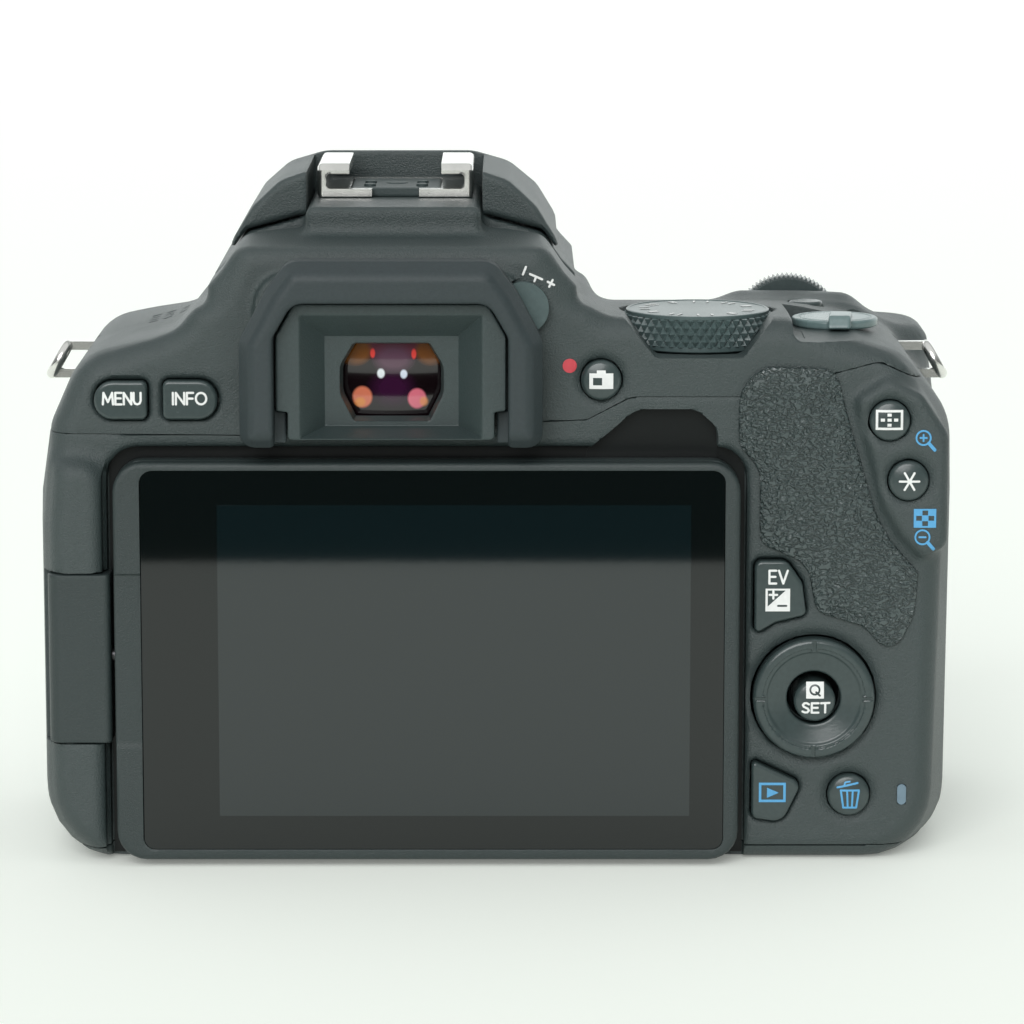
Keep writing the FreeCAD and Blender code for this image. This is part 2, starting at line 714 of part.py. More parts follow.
arm_outline = [
    (size("swing_x") - 2.85, size("swing_y") - 2.0, 1.8),
    (size("screen_left") - 0.35, size("swing_y") - 2.0, 0.5),
    (size("screen_left") - 0.35, size("swing_y") + 2.8, 0.5),
    (size("swing_x") - 2.85, size("swing_y") + 2.8, 2.3),
]
arm_block = top_plate("arm_block", arm_outline, "arm_low", "arm_high")
arm_pin = cylinder("arm_pin", "z", "swing_x", "swing_y", 13.6, "pin_radius", "42.9 - 13.6")
arm_socket = cylinder("arm_socket", "x", "swing_x + 1.8", "tilt_depth", "tilt_height", "tilt_radius", 10)
node("screen_hinge_arm", cut("arm_cut", fuse("arm", arm_block, arm_pin), arm_socket))
node(
    "screen_tilt_shaft",
    cylinder("tilt_shaft", "x", "swing_x + 1.8", "tilt_depth", "tilt_height", "tilt_radius", 14.0),
)

PANEL = rectangle("screen_left", "screen_right", "screen_low", "screen_high", 4)
GLASS = rectangle("glass_left", "glass_right", "glass_low", "glass_high", 1.5)
shell_plate = rear_plate("shell_plate", PANEL, "screen_joint", "screen_inner", [(0, 0.8)])
shaft_bore = cylinder(
    "shaft_bore", "x", "screen_left - 1", "tilt_depth", "tilt_height", "tilt_radius + running_fit", 12
)
node("screen_back_shell", cut("back_shell_cut", shell_plate, shaft_bore))
bezel_plate = rear_plate("bezel_plate", PANEL, "screen_outer", "screen_joint", [(1, 0.7)])
bezel_window = rear_plate("bezel_window", inset(GLASS, -0.08), -40, -20)
node("screen_bezel", cut("bezel_cut", bezel_plate, bezel_window))
node("screen_glass", rear_plate("glass_plate", GLASS, "screen_outer + 0.1", "screen_outer + 0.9"))
LCD = inset(GLASS, 0.8)
node("lcd_panel", rear_plate("lcd_plate", LCD, "screen_outer + 0.95", "screen_joint - 0.05"))

# ---------------------------------------------------------------- viewfinder

CUP_OUTER = mirrored([(20.05, 57.6, 2.0), (20.05, 71.8, 3), (16.5, 78.5, 4), (13.6, 82.4, 3)])
CUP_INNER = mirrored([(15.5, 50.0, 0), (15.5, 72.5, 2), (12.9, 77.0, 2.5)])
cup_body = rear_plate("cup_body", CUP_OUTER, "cup_outer", "cup_inner", [(1, 1.8)])
cup_hollow = rear_plate("cup_hollow", CUP_INNER, -50, -20)
cup_shell = cut("cup_shell", cup_body, cup_hollow)
# Two tongues that run in the groove behind the eyepiece frame's flange.
cup_tongues = [
    rear_plate(
        "cup_tongue%d" % side,
        rectangle(*sorted((side * 14.0, side * 16.0)), 57.9, 62.2),
        -33.0,
        "cup_inner - 0.1",
    )
    for side in (-1, 1)
]
node("eyecup", fuse("cup", cup_shell, *cup_tongues))

FRAME = mirrored([(13.6, 58.6, 0.6), (13.6, 62.4, 0.3), (15.2, 62.6, 0.3), (15.2, 72.4, 1.5), (12.8, 76.7, 1.5)])
GROOVE = mirrored([(13.6, 58.6, 0.6), (13.6, 71.6, 1.5), (12.0, 76.2, 1.5)])
WINDOW = [(-6.0, 60.5, 0.3), (6.0, 60.5, 0.3), (7.0, 61.8, 1), (7.0, 69.8, 1), (6.0, 71.0, 0.6), (-6.0, 71.0, 0.6),
          (-7.0, 69.8, 1), (-7.0, 61.8, 1)]
frame_front = rear_plate("frame_front", FRAME, -35.2, -33.2)
frame_foot = rear_plate("frame_foot", GROOVE, -33.4, "cup_inner")
frame_neck = rear_plate("frame_neck", rectangle(-12, 12, 58.9, 75.7, 1.5), -32, "rear_inside + 1.4")
frame_block = fuse("frame_block", frame_front, frame_foot, frame_neck)
frame_window = rear_plate("frame_window", WINDOW, -40, -20)
frame_funnel = rear_plate("frame_funnel", rectangle(-11.0, 11.0, 59.4, 74.6, 1), -40, -33.4)
frame_step = rear_plate("frame_step", rectangle(-9.0, 9.0, 60.0, 72.0, 1), -40, -31.0)
frame_seat = rear_plate("frame_seat", rectangle(-8.0, 8.0, 59.9, 72.2, 1), -28.6, -20)
node("eyepiece_frame", cut("frame_cut", frame_block, frame_window, frame_funnel, frame_step, frame_seat))
node("eyepiece_lens", rear_plate("lens_plate", rectangle(-7.95, 7.95, 59.95, 72.15, 1), -28.55, -26.0, [(1, 0.3)]))

diopter_wheel = cylinder("diopter_wheel", "y", 17.4, -30.6, 75.6, 3.5, 1.3)
diopter_stem = cylinder("diopter_stem", "y", 17.4, -30, 75.6, "1.3 - running_fit", 4.5)
node("diopter_dial", fuse("diopter", diopter_wheel, diopter_stem))

PRISM = [(-20, 53.0), (8, 53.0), (14, 60.0), (8, 77.5), (-6, 79.0), (-19, 66.0)]
node("pentamirror", side_plate("prism", [(u, v, 1) for u, v in PRISM], -14.5, 14.5))
node("focusing_screen", box("focusing_plate", (-14, 14), (-4, 20), (50.3, 51.6)))

# ---------------------------------------------------------------- mirror box, mirrors, shutter and sensor

mirror_tube = cut(
    "mirror_tube",
    box("tube_outer", (-18, 18), (-4.4, 21.5), (21.0, 52.4)),
    box("tube_inner", (-16.5, 16.5), (-10, 30), (22.5, 60)),
)
tube_ledges = [
    box("tube_ledge%d" % side, sorted((side * 13.0, side * 16.8)), (-4.0, 20.5), (49.2, 50.25)) for side in (-1, 1)
]
hinge_bore = cylinder("mirror_bore", "x", -20, "mirror_hinge_y", "mirror_hinge_z", "0.8 + running_fit", 40)
node("mirror_box", cut("mirror_box_cut", fuse("mirror_box_set", mirror_tube, *tube_ledges), hinge_bore))

MIRROR_LENGTH = 26.0
mirror_plate = box("mirror_plate", (-14, 14), (0.4, MIRROR_LENGTH), (-1.3, -0.1))
mirror_pins = [
    cylinder("mirror_pin%d" % side, "x", min(side * 13.9, side * 17.2), 0, 0, 0.8, 3.3) for side in (-1, 1)
]
mirror_ears = [
    box("mirror_ear%d" % side, sorted((side * 12.6, side * 14)), (-0.8, 4), (-1.2, 0.8))
    for side in (-1, 1)
]
mirror = fuse("mirror", mirror_plate, *mirror_pins, *mirror_ears)
sub_notch = box("sub_notch", (-8.6, 8.6), (10.4, 13.6), (-2, -0.75))
reflex = cut("reflex", mirror, sub_notch)
MIRROR_HINGE = Vector(0, size("mirror_hinge_y"), size("mirror_hinge_z"))
reflex.Placement = Placement(MIRROR_HINGE, Rotation(Vector(1, 0, 0), -45))
node("reflex_mirror", reflex)

# The sub mirror hangs below the main one, square to it, on its own pins.
SUB_PIVOT = (12.0, -1.9)
sub_plate = box("sub_plate", (-8, 8), (SUB_PIVOT[0] - 0.45, SUB_PIVOT[0] + 0.45), (SUB_PIVOT[1] - 9.5, SUB_PIVOT[1]))
sub_roll = cylinder("sub_roll", "x", -8, SUB_PIVOT[0], SUB_PIVOT[1], 0.5, 16)
sub_mirror = fuse("sub_mirror_set", sub_plate, sub_roll)
sub_mirror.Placement = Placement(MIRROR_HINGE, Rotation(Vector(1, 0, 0), -45))
node("sub_mirror", sub_mirror)

shutter_plate = box("shutter_plate", (-25, 25), (-9.0, -4.6), (20, 52.4))
shutter_gate = box("shutter_gate", (-12.4, 12.4), (-20, 0), (29.2, 45.8))
node("shutter_frame", cut("shutter_cut", shutter_plate, shutter_gate))
sensor_die = box("sensor_die", (-11.15, 11.15), (-12.6, -12.0), (30.05, 44.95))
sensor_carrier = box("sensor_carrier", (-15, 15), (-14.2, -12.6), (26, 49))
node("image_sensor", fuse("sensor", sensor_die, sensor_carrier))
BOARD = [(-40, 8, 1), (44, 8, 1), (44, 50, 1), (26, 50, 0), (26, 55, 1), (-40, 55, 1)]
node("sensor_board", rear_plate("sensor_board_plate", rectangle(-22, 22, 18, 51, 1), -16.4, -15.2))
main_board_plate = rear_plate("main_board_plate", BOARD, -23.2, -22.0)
chips = [
    box("chip%d" % i, (x, x + w), (-22.0, -20.8), (z, z + w))
    for i, (x, z, w) in enumerate([(-30, 20, 12), (-12, 36, 9), (6, 16, 14), (28, 34, 8)])
]
node("main_board", fuse("main_board_set", main_board_plate, *chips))

# ---------------------------------------------------------------- lens mount parts

contact_arc = box("contact_arc", (-10, 10), (22.5, 27.5), (13.2, 15.6))
contact_pins = [
    cylinder("contact_pin%d" % i, "y", -8.0 + 2.0 * i, 27.0, 14.6, 0.45, 1.1) for i in range(9)
]
node("lens_contact_block", fuse("contact_block", contact_arc, *contact_pins))
node("lens_lock_pin", cylinder("lock_pin", "y", -29.0, 24.0, "mount_height", 1.2, 9.2))
release_cap = cylinder("release_cap", "y", "release_x", 14.0, "release_z", 3.2, 5.4)
node("lens_release_button", release_cap)

# ---------------------------------------------------------------- hot shoe and flash

shoe_x = ("-shoe_half", "shoe_half")
shoe_outer = box("shoe_outer", shoe_x, ("shoe_rear", "shoe_front"), ("shoe_low + 0.02", "shoe_high"))
shoe_slot = box("shoe_slot", (-9.4, 9.4), (-20, 20), ("shoe_low + 1.3", "shoe_high - 1.5"))
shoe_mouth = box("shoe_mouth", ("-shoe_gap", "shoe_gap"), (-20, 20), ("shoe_low + 1.3", 99))
shoe_well = box("shoe_well", (-6.2, 6.2), (-6.0, 8.0), ("shoe_low - 1", 99))
node("hot_shoe_rails", cut("shoe_rails_cut", shoe_outer, shoe_slot, shoe_mouth, shoe_well))
shoe_base_block = box("shoe_base_block", (-6.15, 6.15), (-5.95, 7.95), ("shoe_low + 0.03", "shoe_low + 1.25"))
shoe_contacts = [
    cylinder("shoe_contact%d" % i, "z", x, y, "shoe_low + 1", 0.8, 0.35)
    for i, (x, y) in enumerate([(0, 1), (-3.6, -3.4), (3.6, -3.4), (-3.6, 1), (3.6, 1)])
]
node("hot_shoe_base", fuse("shoe_base", shoe_base_block, *shoe_contacts))

FLASH_FORM = [
    (23.6, 80.3, 0),
    (22.4, 83.6, 2.5),
    (20.2, 87.4, 2.5),
    (16.4, 91.2, 4),
    (10.5, 93.0, 5),
    (-10.5, 93.0, 5),
    (-16.4, 91.2, 4),
    (-20.2, 87.4, 2.5),
    (-22.4, 83.6, 2.5),
    (-23.6, 80.3, 0),
    (-20.3, 84.15, 1),
    (-12.9, 86.1, 0),
    (12.9, 86.1, 0),
    (20.3, 84.15, 1),
]
flash_form = rear_plate("flash_form", FLASH_FORM, -13.0, 24.0)
flash_bay = box("flash_bay", (-11.95, 11.95), (-30, "shoe_front + 3.2"), (70, 120))
flash_slope = doc.addObject("Part::Box", "flash_slope")
for prop, text in (("Length", 80), ("Width", 30), ("Height", 30)):
    bind(flash_slope, prop, text)
flash_slope.Placement = Placement(Vector(-40, 18.5, 93.2), Rotation(Vector(1, 0, 0), -35))
flash_socket = box("flash_socket", (-13.2, 13.2), (21.5, 40), (86.7, 89.0))
node("flash_head", cut("flash_cut", flash_form, flash_bay, flash_slope, flash_socket))
node("flash_window", box("flash_window_plate", (-13.1, 13.1), (21.6, 23.4), (86.8, 88.9)))

# ---------------------------------------------------------------- dials and top controls

dial_disc = doc.addObject("PartDesign::Body", "dial_disc")
dial_disc_sketch = dial_disc.newObject("Sketcher::SketchObject", "dial_profile")
dial_disc_sketch.AttachmentSupport = [(origin_plane(dial_disc, "XZ_Plane"), "")]
dial_disc_sketch.MapMode = "FlatFace"
dial_tall = size("dial_high") - size("dial_low")
dial_wide = size("dial_radius")
DIAL_SECTION = [
    (0, 0, 0),
    (dial_wide - 0.3, 0, 0),
    (dial_wide, 0.4, 0),
    (dial_wide, dial_tall - 0.8, 0),
    (dial_wide - 0.8, dial_tall, 0),
    (0, dial_tall, 0),
]
for edge in outline_edges(DIAL_SECTION):
    dial_disc_sketch.addGeometry(edge, False)
dial_turn = dial_disc.newObject("PartDesign::Revolution", "dial_turn")
dial_turn.Profile = dial_disc_sketch
dial_turn.ReferenceAxis = (dial_disc_sketch, ["V_Axis"])
dial_turn.Angle = 360
bind_place(dial_disc, "dial_x", "dial_y", "dial_low")
dial_stem = cylinder("dial_stem", "z", "dial_x", "dial_y", 64.5, 1.5, 4.6)
node("mode_dial", fuse("mode_dial_set", dial_disc, dial_stem))

wheel_rim = cylinder("wheel_rim", "y", "wheel_x", "wheel_y - 2.4", "wheel_z", "wheel_radius", 4.8)
wheel_stem = cylinder("wheel_stem", "y", "wheel_x", "wheel_y - 4.6", "wheel_z", 1.4, 7.0)
node("main_dial", fuse("main_dial_set", wheel_rim, wheel_stem))

node(
    "shutter_button",
    fuse(
        "shutter_set",
        cylinder("shutter_cap", "z", "shutter_x", "shutter_y", 64.6, 3.6, 4.6),
        cylinder("shutter_stem", "z", "shutter_x", "shutter_y", 60.0, 1.5, 5.0),
    ),
)
switch_disc = cylinder("switch_disc", "z", 0, 0, 0.35, "switch_radius", 1.6)
switch_stem = cylinder("switch_stem", "z", 0, 0, -4.5, 1.5, 5.5)
switch_lever = box("switch_lever", (-1.4, 1.4), (-8.2, -4), (0.6, 2.1))
node("power_switch", at_switch(fuse("power_switch_set", switch_disc, switch_stem, switch_lever)))
node("iso_button", cylinder("iso_cap", "z", 57.4, 6.5, 69.6, 2.4, 4.4))
node("disp_button", cylinder("disp_cap", "z", 65.4, 6.5, 67.2, 2.0, 4.6))

# ---------------------------------------------------------------- rear controls

POD_BUTTONS = ("af_point_button", "ae_lock_button")
for name, (x, z, radius) in ROUND_BUTTONS.items():
    top = "pod_face - 0.7" if name in POD_BUTTONS else "button_top"
    top = "button_top - 0.9" if name == "set_button" else top
    item = cylinder(name + "_cap", "y", x, top, z, radius, "button_back - (%s)" % top)
    node(name, item)
for name, points in SHAPED_BUTTONS.items():
    node(name, rear_plate(name + "_cap", points, "button_top", "button_back"))

pad_disc = cylinder("pad_disc", "y", "pad_x", "button_top - 0.5", "pad_z", "pad_radius", 3.0)
pad_hole = cylinder("pad_hole", "y", "pad_x", -40, "pad_z", "pad_bore", 20)
node("cross_key_pad", cut("cross_pad_cut", pad_disc, pad_hole))
rocker_disc = cylinder("rocker_disc", "y", "pad_x", -27.1, "pad_z", 7.4, 1.2)
rocker_hole = cylinder("rocker_hole", "y", "pad_x", -40, "pad_z", "pad_bore", 20)
node("cross_key_plate", cut("rocker_cut", rocker_disc, rocker_hole))
node("access_lamp", rear_plate("lamp_lens", LAMP, "rear_face - 0.2", "rear_inside"))

# ---------------------------------------------------------------- side cover over the sockets

PORT = rectangle(-7.7, 9.7, 12.3, 55.7, 2)
node("side_port_cover", side_plate("port_cover_plate", PORT, "body_left + 0.05", "body_left + 0.8"))

# ---------------------------------------------------------------- checks and export

doc.recompute()
for item in doc.Objects:
    if {"Invalid", "Error"} & set(item.State):
        raise RuntimeError("%s did not build: %s" % (item.Name, item.State))
for item in nodes:
    if item.Shape.isNull() or not item.Shape.isValid():
        raise RuntimeError("%s has no valid shape" % item.Label)
for item in nodes:
    item.Shape.exportStep("parts/%s.step" % item.Label)
print("%d sub-parts written" % len(nodes))
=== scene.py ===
import functools
import json
import math

import bpy
import numpy as np
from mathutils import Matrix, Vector


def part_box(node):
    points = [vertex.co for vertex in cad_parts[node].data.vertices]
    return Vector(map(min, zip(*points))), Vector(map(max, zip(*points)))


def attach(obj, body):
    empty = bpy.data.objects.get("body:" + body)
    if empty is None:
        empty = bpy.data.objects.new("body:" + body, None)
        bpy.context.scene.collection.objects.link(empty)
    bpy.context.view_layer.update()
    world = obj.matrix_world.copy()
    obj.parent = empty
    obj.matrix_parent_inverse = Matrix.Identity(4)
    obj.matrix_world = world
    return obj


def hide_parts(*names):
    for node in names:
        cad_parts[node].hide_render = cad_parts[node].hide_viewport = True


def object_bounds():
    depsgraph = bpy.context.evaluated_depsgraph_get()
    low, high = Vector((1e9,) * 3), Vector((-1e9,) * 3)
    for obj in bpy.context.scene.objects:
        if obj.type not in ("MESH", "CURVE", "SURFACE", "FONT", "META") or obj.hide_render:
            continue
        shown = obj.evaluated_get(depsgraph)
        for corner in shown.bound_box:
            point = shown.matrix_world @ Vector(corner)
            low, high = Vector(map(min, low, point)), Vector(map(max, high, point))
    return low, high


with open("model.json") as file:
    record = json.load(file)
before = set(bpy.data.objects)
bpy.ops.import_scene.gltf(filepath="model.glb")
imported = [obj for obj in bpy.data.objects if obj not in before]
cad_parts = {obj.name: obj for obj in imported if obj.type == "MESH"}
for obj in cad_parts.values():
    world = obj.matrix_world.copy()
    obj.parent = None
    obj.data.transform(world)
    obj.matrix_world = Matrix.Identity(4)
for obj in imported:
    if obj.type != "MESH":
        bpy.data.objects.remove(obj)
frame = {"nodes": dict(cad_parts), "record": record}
cad_low, cad_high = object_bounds()

# A digital SLR camera, seen from behind. The frame is in metres; the fields below are in millimetres.
# +X is to the right seen from behind, +Y goes out through the lens mount, +Z is up.

MM = 0.001
CAD_LOW, CAD_HIGH = np.array(cad_low) / MM, np.array(cad_high) / MM
BODY_OF = {node: body for body, nodes in frame["record"]["behaviour"]["bodies"].items() for node in nodes}
SLOT_OF = {part["node"]: part["material_slot"] for part in frame["record"]["subparts"]}


def box_mm(node):
    """Lowest and highest corner of a CAD node in millimetres."""
    low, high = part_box(node)
    return np.array(low) / MM, np.array(high) / MM


def round_mm(node, u, v):
    """Centre and radius of a round CAD node, in the plane of its axes u and v."""
    low, high = box_mm(node)
    return ((low[u] + high[u]) / 2, (low[v] + high[v]) / 2), (high[u] - low[u]) / 2


# ---------------------------------------------------------------- outlines and distance fields


def outline(points, steps=6):
    """A closed polyline from (u, v, corner radius) points, with each corner's arc in short steps."""
    line = []
    count = len(points)
    for i, (u, v, radius) in enumerate(points):
        here = np.array([u, v], float)
        back = np.array(points[i - 1][:2]) - here
        ahead = np.array(points[(i + 1) % count][:2]) - here
        back /= np.linalg.norm(back)
        ahead /= np.linalg.norm(ahead)
        half = math.acos(float(np.clip(back @ ahead, -1, 1))) / 2
        if not radius or half > 1.55:
            line.append(here)
            continue
        reach = radius / math.tan(half)
        start, end = here + back * reach, here + ahead * reach
        hub = here + (back + ahead) / np.linalg.norm(back + ahead) * radius / math.sin(half)
        first = math.atan2(*(start - hub)[::-1])
        turn = (math.atan2(*(end - hub)[::-1]) - first + math.pi) % (2 * math.pi) - math.pi
        for t in np.linspace(0, 1, steps + 1):
            angle = first + turn * t
            line.append(hub + radius * np.array([math.cos(angle), math.sin(angle)]))
    return np.array(line)


def mirrored(points):
    return points + [(-u, v, r) for u, v, r in reversed(points)]


def rectangle(left, right, low, high, radius=0.0):
    return [(left, low, radius), (right, low, radius), (right, high, radius), (left, high, radius)]


def flat_distance(line, u, v):
    """Signed distance in the plane to a closed polyline, negative inside."""
    u, v = np.broadcast_arrays(u, v)
    best = np.full(u.shape, 1e9)
    inside = np.zeros(u.shape, bool)
    for (u0, v0), (u1, v1) in zip(line, np.roll(line, -1, axis=0)):
        du, dv = u1 - u0, v1 - v0
        length = du * du + dv * dv
        if length < 1e-12:
            continue
        t = np.clip(((u - u0) * du + (v - v0) * dv) / length, 0, 1)
        best = np.minimum(best, (u - u0 - t * du) ** 2 + (v - v0 - t * dv) ** 2)
        if abs(dv) > 1e-12:
            crosses = (v0 > v) != (v1 > v)
            inside ^= crosses & (u < (v - v0) * du / dv + u0)
    best = np.sqrt(best)
    return np.where(inside, -best, best)


def thick(flat, w, low, high, rounding=0.0):
    """A flat distance given thickness from w = low to w = high, with rounded rims."""
    side = flat + rounding
    end = np.abs(w - (low + high) / 2) - (high - low) / 2 + rounding
    outside = np.sqrt(np.maximum(side, 0) ** 2 + np.maximum(end, 0) ** 2)
    return np.minimum(np.maximum(side, end), 0) + outside - rounding


def prism(line, u, v, w, low, high, rounding=0.0):
    """Distance to an outline in (u, v) that is drawn out along w."""
    return thick(flat_distance(line, u, v), w, low, high, rounding)


def block(x, y, z, low, high, rounding=0.0):
    """Distance to a box with rounded edges."""
    gaps = [np.abs(p - (a + b) / 2) - (b - a) / 2 + rounding for p, a, b in zip((x, y, z), low, high)]
    outside = np.sqrt(sum(np.maximum(gap, 0) ** 2 for gap in gaps))
    return np.minimum(np.maximum(np.maximum(gaps[0], gaps[1]), gaps[2]), 0) + outside - rounding


def disc(u, v, w, centre, radius, low, high, rounding=0.0):
    """Distance to a cylinder along w."""
    return thick(np.hypot(u - centre[0], v - centre[1]) - radius, w, low, high, rounding)


def join(a, b, blend=0.0):
    """Union of two fields, with a fillet of about the blend's size."""
    if not blend:
        return np.minimum(a, b)
    mix = np.maximum(blend - np.abs(a - b), 0) / blend
    return np.minimum(a, b) - mix * mix * blend / 4


def carve(a, b, blend=0.0):
    """Field a with field b cut out of it."""
    return -join(-a, b, blend)


def overlap(a, b, blend=0.0):
    """Intersection of two fields."""
    return -join(-a, -b, blend)


# ---------------------------------------------------------------- meshes from fields


def crossings(field, values, axes, axis):
    """Where the surface crosses the grid's edges along one axis: edge index, place and normal."""
    ahead = np.take(values, range(1, values.shape[axis]), axis)
    behind = np.take(values, range(values.shape[axis] - 1), axis)
    index = np.argwhere((ahead < 0) != (behind < 0))
    v0 = behind[tuple(index.T)]
    v1 = ahead[tuple(index.T)]
    place = np.stack([axes[i][index[:, i]] for i in range(3)], 1).astype(float)
    step = axes[axis][1] - axes[axis][0]
    place[:, axis] += step * v0 / (v0 - v1)
    reach = step * 0.2
    normal = np.empty_like(place)
    for i in range(3):
        shift = np.eye(3)[i] * reach
        normal[:, i] = field(*(place + shift).T) - field(*(place - shift).T)
    normal /= np.linalg.norm(normal, axis=1, keepdims=True) + 1e-12
    return index, place, normal, v0 < 0


# The field is sampled this many grid planes at a time.
SLICES = 24


def surface(field, low, high, step):
    """Dual contouring: vertices and quads of the closed surface where the field is zero."""
    axes = [np.arange(a - 1.37 * step, b + 2.4 * step, step) for a, b in zip(low, high)]
    shape = tuple(len(a) for a in axes)
    values = np.empty(shape, np.float32)
    x, y, z = axes[0][:, None, None], axes[1][None, :, None], axes[2][None, None, :]
    for i in range(0, shape[0], SLICES):
        values[i : i + SLICES] = field(x[i : i + SLICES], y, z)
    cell_lists, places, normals, quads = [], [], [], []
    for axis in range(3):
        index, place, normal, rising = crossings(field, values, axes, axis)
        one, two = (axis + 1) % 3, (axis + 2) % 3
        around = []
        for a, b in ((0, 0), (1, 0), (1, 1), (0, 1)):
            cell = index.copy()
            cell[:, one] -= a
            cell[:, two] -= b
            around.append(np.ravel_multi_index(np.clip(cell, 0, None).T, shape))
        around = np.stack(around, 1)
        cell_lists.append(around)
        places.append(place)
        normals.append(normal)
        quads.append(np.where(rising[:, None], around[:, ::-1], around))
    cells, points, slopes = np.concatenate(cell_lists), np.concatenate(places), np.concatenate(normals)
    ids, flat = np.unique(cells, return_inverse=True)
    flat = flat.reshape(cells.shape)
    count = len(ids)
    owner = flat.ravel()
    points = np.repeat(points, 4, axis=0)
    slopes = np.repeat(slopes, 4, axis=0)
    number = np.bincount(owner, minlength=count)[:, None]
    middle = np.stack([np.bincount(owner, points[:, i], count) for i in range(3)], 1) / number
    offset = ((points - middle[owner]) * slopes).sum(1)
    matrix = np.empty((count, 3, 3))
    target = np.empty((count, 3))
    for i in range(3):
        target[:, i] = np.bincount(owner, slopes[:, i] * offset, count)
        for j in range(3):
            matrix[:, i, j] = np.bincount(owner, slopes[:, i] * slopes[:, j], count)
    # A light pull toward the middle of the crossings keeps flat cells well posed.
    matrix += np.eye(3) * 0.05 * number[:, :, None]
    shift = np.linalg.solve(matrix, target[:, :, None])[:, :, 0]
    vertices = middle + np.clip(shift, -step * 0.7, step * 0.7)
    faces = np.searchsorted(ids, np.concatenate(quads))
    return vertices, faces


# Pieces with more triangles than this are thinned.
TRIANGLE_LIMIT = 190000


def linked(name, data):
    """A new object in the scene."""
    item = bpy.data.objects.new(name, data)
    bpy.context.scene.collection.objects.link(item)
    return item


def add_mesh(name, vertices, faces, material, body, slot, smooth_angle=35):
    mesh = bpy.data.meshes.new(name)
    mesh.from_pydata((np.asarray(vertices) * MM).tolist(), [], [tuple(map(int, f)) for f in faces])
    mesh.validate()
    piece = linked(name, mesh)
    mesh.materials.append(material)
    mesh.polygons.foreach_set("use_smooth", [True] * len(mesh.polygons))
    mesh.set_sharp_from_angle(angle=math.radians(smooth_angle))
    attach(piece, body)
    return piece


def form(node, field, step, material, low=None, high=None, smooth_angle=35):
    """A detailed piece that stands for one CAD node, meshed from a field inside the node's box."""
    node_low, node_high = box_mm(node)
    low = node_low if low is None else np.array(low)
    high = node_high if high is None else np.array(high)
    vertices, faces = surface(field, low, high, step)
    vertices = np.clip(vertices, CAD_LOW, CAD_HIGH)
    piece = add_mesh(node + "_form", vertices, faces, material, BODY_OF[node], SLOT_OF[node], smooth_angle)
    triangles = 2 * len(faces)
    if triangles > TRIANGLE_LIMIT:
        thin = piece.modifiers.new("thin", "DECIMATE")
        thin.ratio = TRIANGLE_LIMIT / triangles
    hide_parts(node)
    print("form", node, len(faces), "faces")


# ---------------------------------------------------------------- materials


def add_node(tree, kind, operation=None, **sockets):
    """A new node; each socket gets either a value or a link from another node's output."""
    node = tree.nodes.new(kind)
    if operation:
        node.operation = operation
    set_sockets(tree, node, **sockets)
    return node


def set_sockets(tree, node, **sockets):
    for name, value in sockets.items():
        socket = node.inputs[name.replace("_", " ")]
        if isinstance(value, bpy.types.NodeSocket):
            tree.links.new(value, socket)
        else:
            socket.default_value = value


def new_material(name, colour, roughness, metallic=0.0, specular=0.5, coat=0.0):
    material = bpy.data.materials.new(name)
    material.use_nodes = True
    set_shader(
        material, Base_Color=(*colour, 1), Roughness=roughness, Metallic=metallic,
        Specular_IOR_Level=specular, Coat_Weight=coat,
    )
    return material


def set_shader(material, **sockets):
    set_sockets(material.node_tree, material.node_tree.nodes["Principled BSDF"], **sockets)


def own_place(tree):
    """The shaded point in the object's own metres."""
    return add_node(tree, "ShaderNodeTexCoord").outputs["Object"]


def noise_output(tree, place=None, **sockets):
    place = own_place(tree) if place is None else place
    return add_node(tree, "ShaderNodeTexNoise", Vector=place, **sockets).outputs["Fac"]


def two_tones(tree, source, low, high, dark=(0, 0, 0), light=(1, 1, 1)):
    """A ramp that runs from the dark tone at low to the light tone at high."""
    ramp = add_node(tree, "ShaderNodeValToRGB", Fac=source)
    for stop, place, colour in zip(ramp.color_ramp.elements, (low, high), (dark, light)):
        stop.position = place
        stop.color = (*colour, 1)
    return ramp.outputs["Color"]


def bumped(material, height, distance):
    bump = add_node(material.node_tree, "ShaderNodeBump", Distance=distance, Strength=1.0, Height=height)
    set_shader(material, Normal=bump.outputs["Normal"])


def grain(material, scale, distance):
    """Fine moulded grain."""
    bumped(material, noise_output(material.node_tree, Scale=scale, Detail=3.0, Roughness=0.6), distance)


def tint(material, dark, light, scale):
    """Colour that varies softly between two tones."""
    noise = noise_output(material.node_tree, Scale=scale, Detail=4.0)
    set_shader(material, Base_Color=two_tones(material.node_tree, noise, 0.35, 0.65, dark, light))


def grey(value, blue=1.0):
    """The camera's dark grey, which leans a little to blue-green."""
    return (value * 0.68, value, value * blue)


def moulded(name, value, roughness, scale, distance, blue=1.0, specular=0.5):
    """Moulded plastic with grain, faint colour variation and rubbed patches."""
    material = new_material(name, grey(value, blue), roughness, specular=specular)
    tree = material.node_tree
    grain(material, scale, distance)
    tint(material, grey(value * 0.94, blue), grey(value * 1.06, blue), scale * 0.6)
    wear = noise_output(tree, Scale=90.0, Detail=5.0)
    spread = add_node(
        tree, "ShaderNodeMapRange", Value=wear, To_Min=roughness - 0.06, To_Max=roughness + 0.08,
    )
    set_shader(material, Roughness=spread.outputs["Result"])
    return material


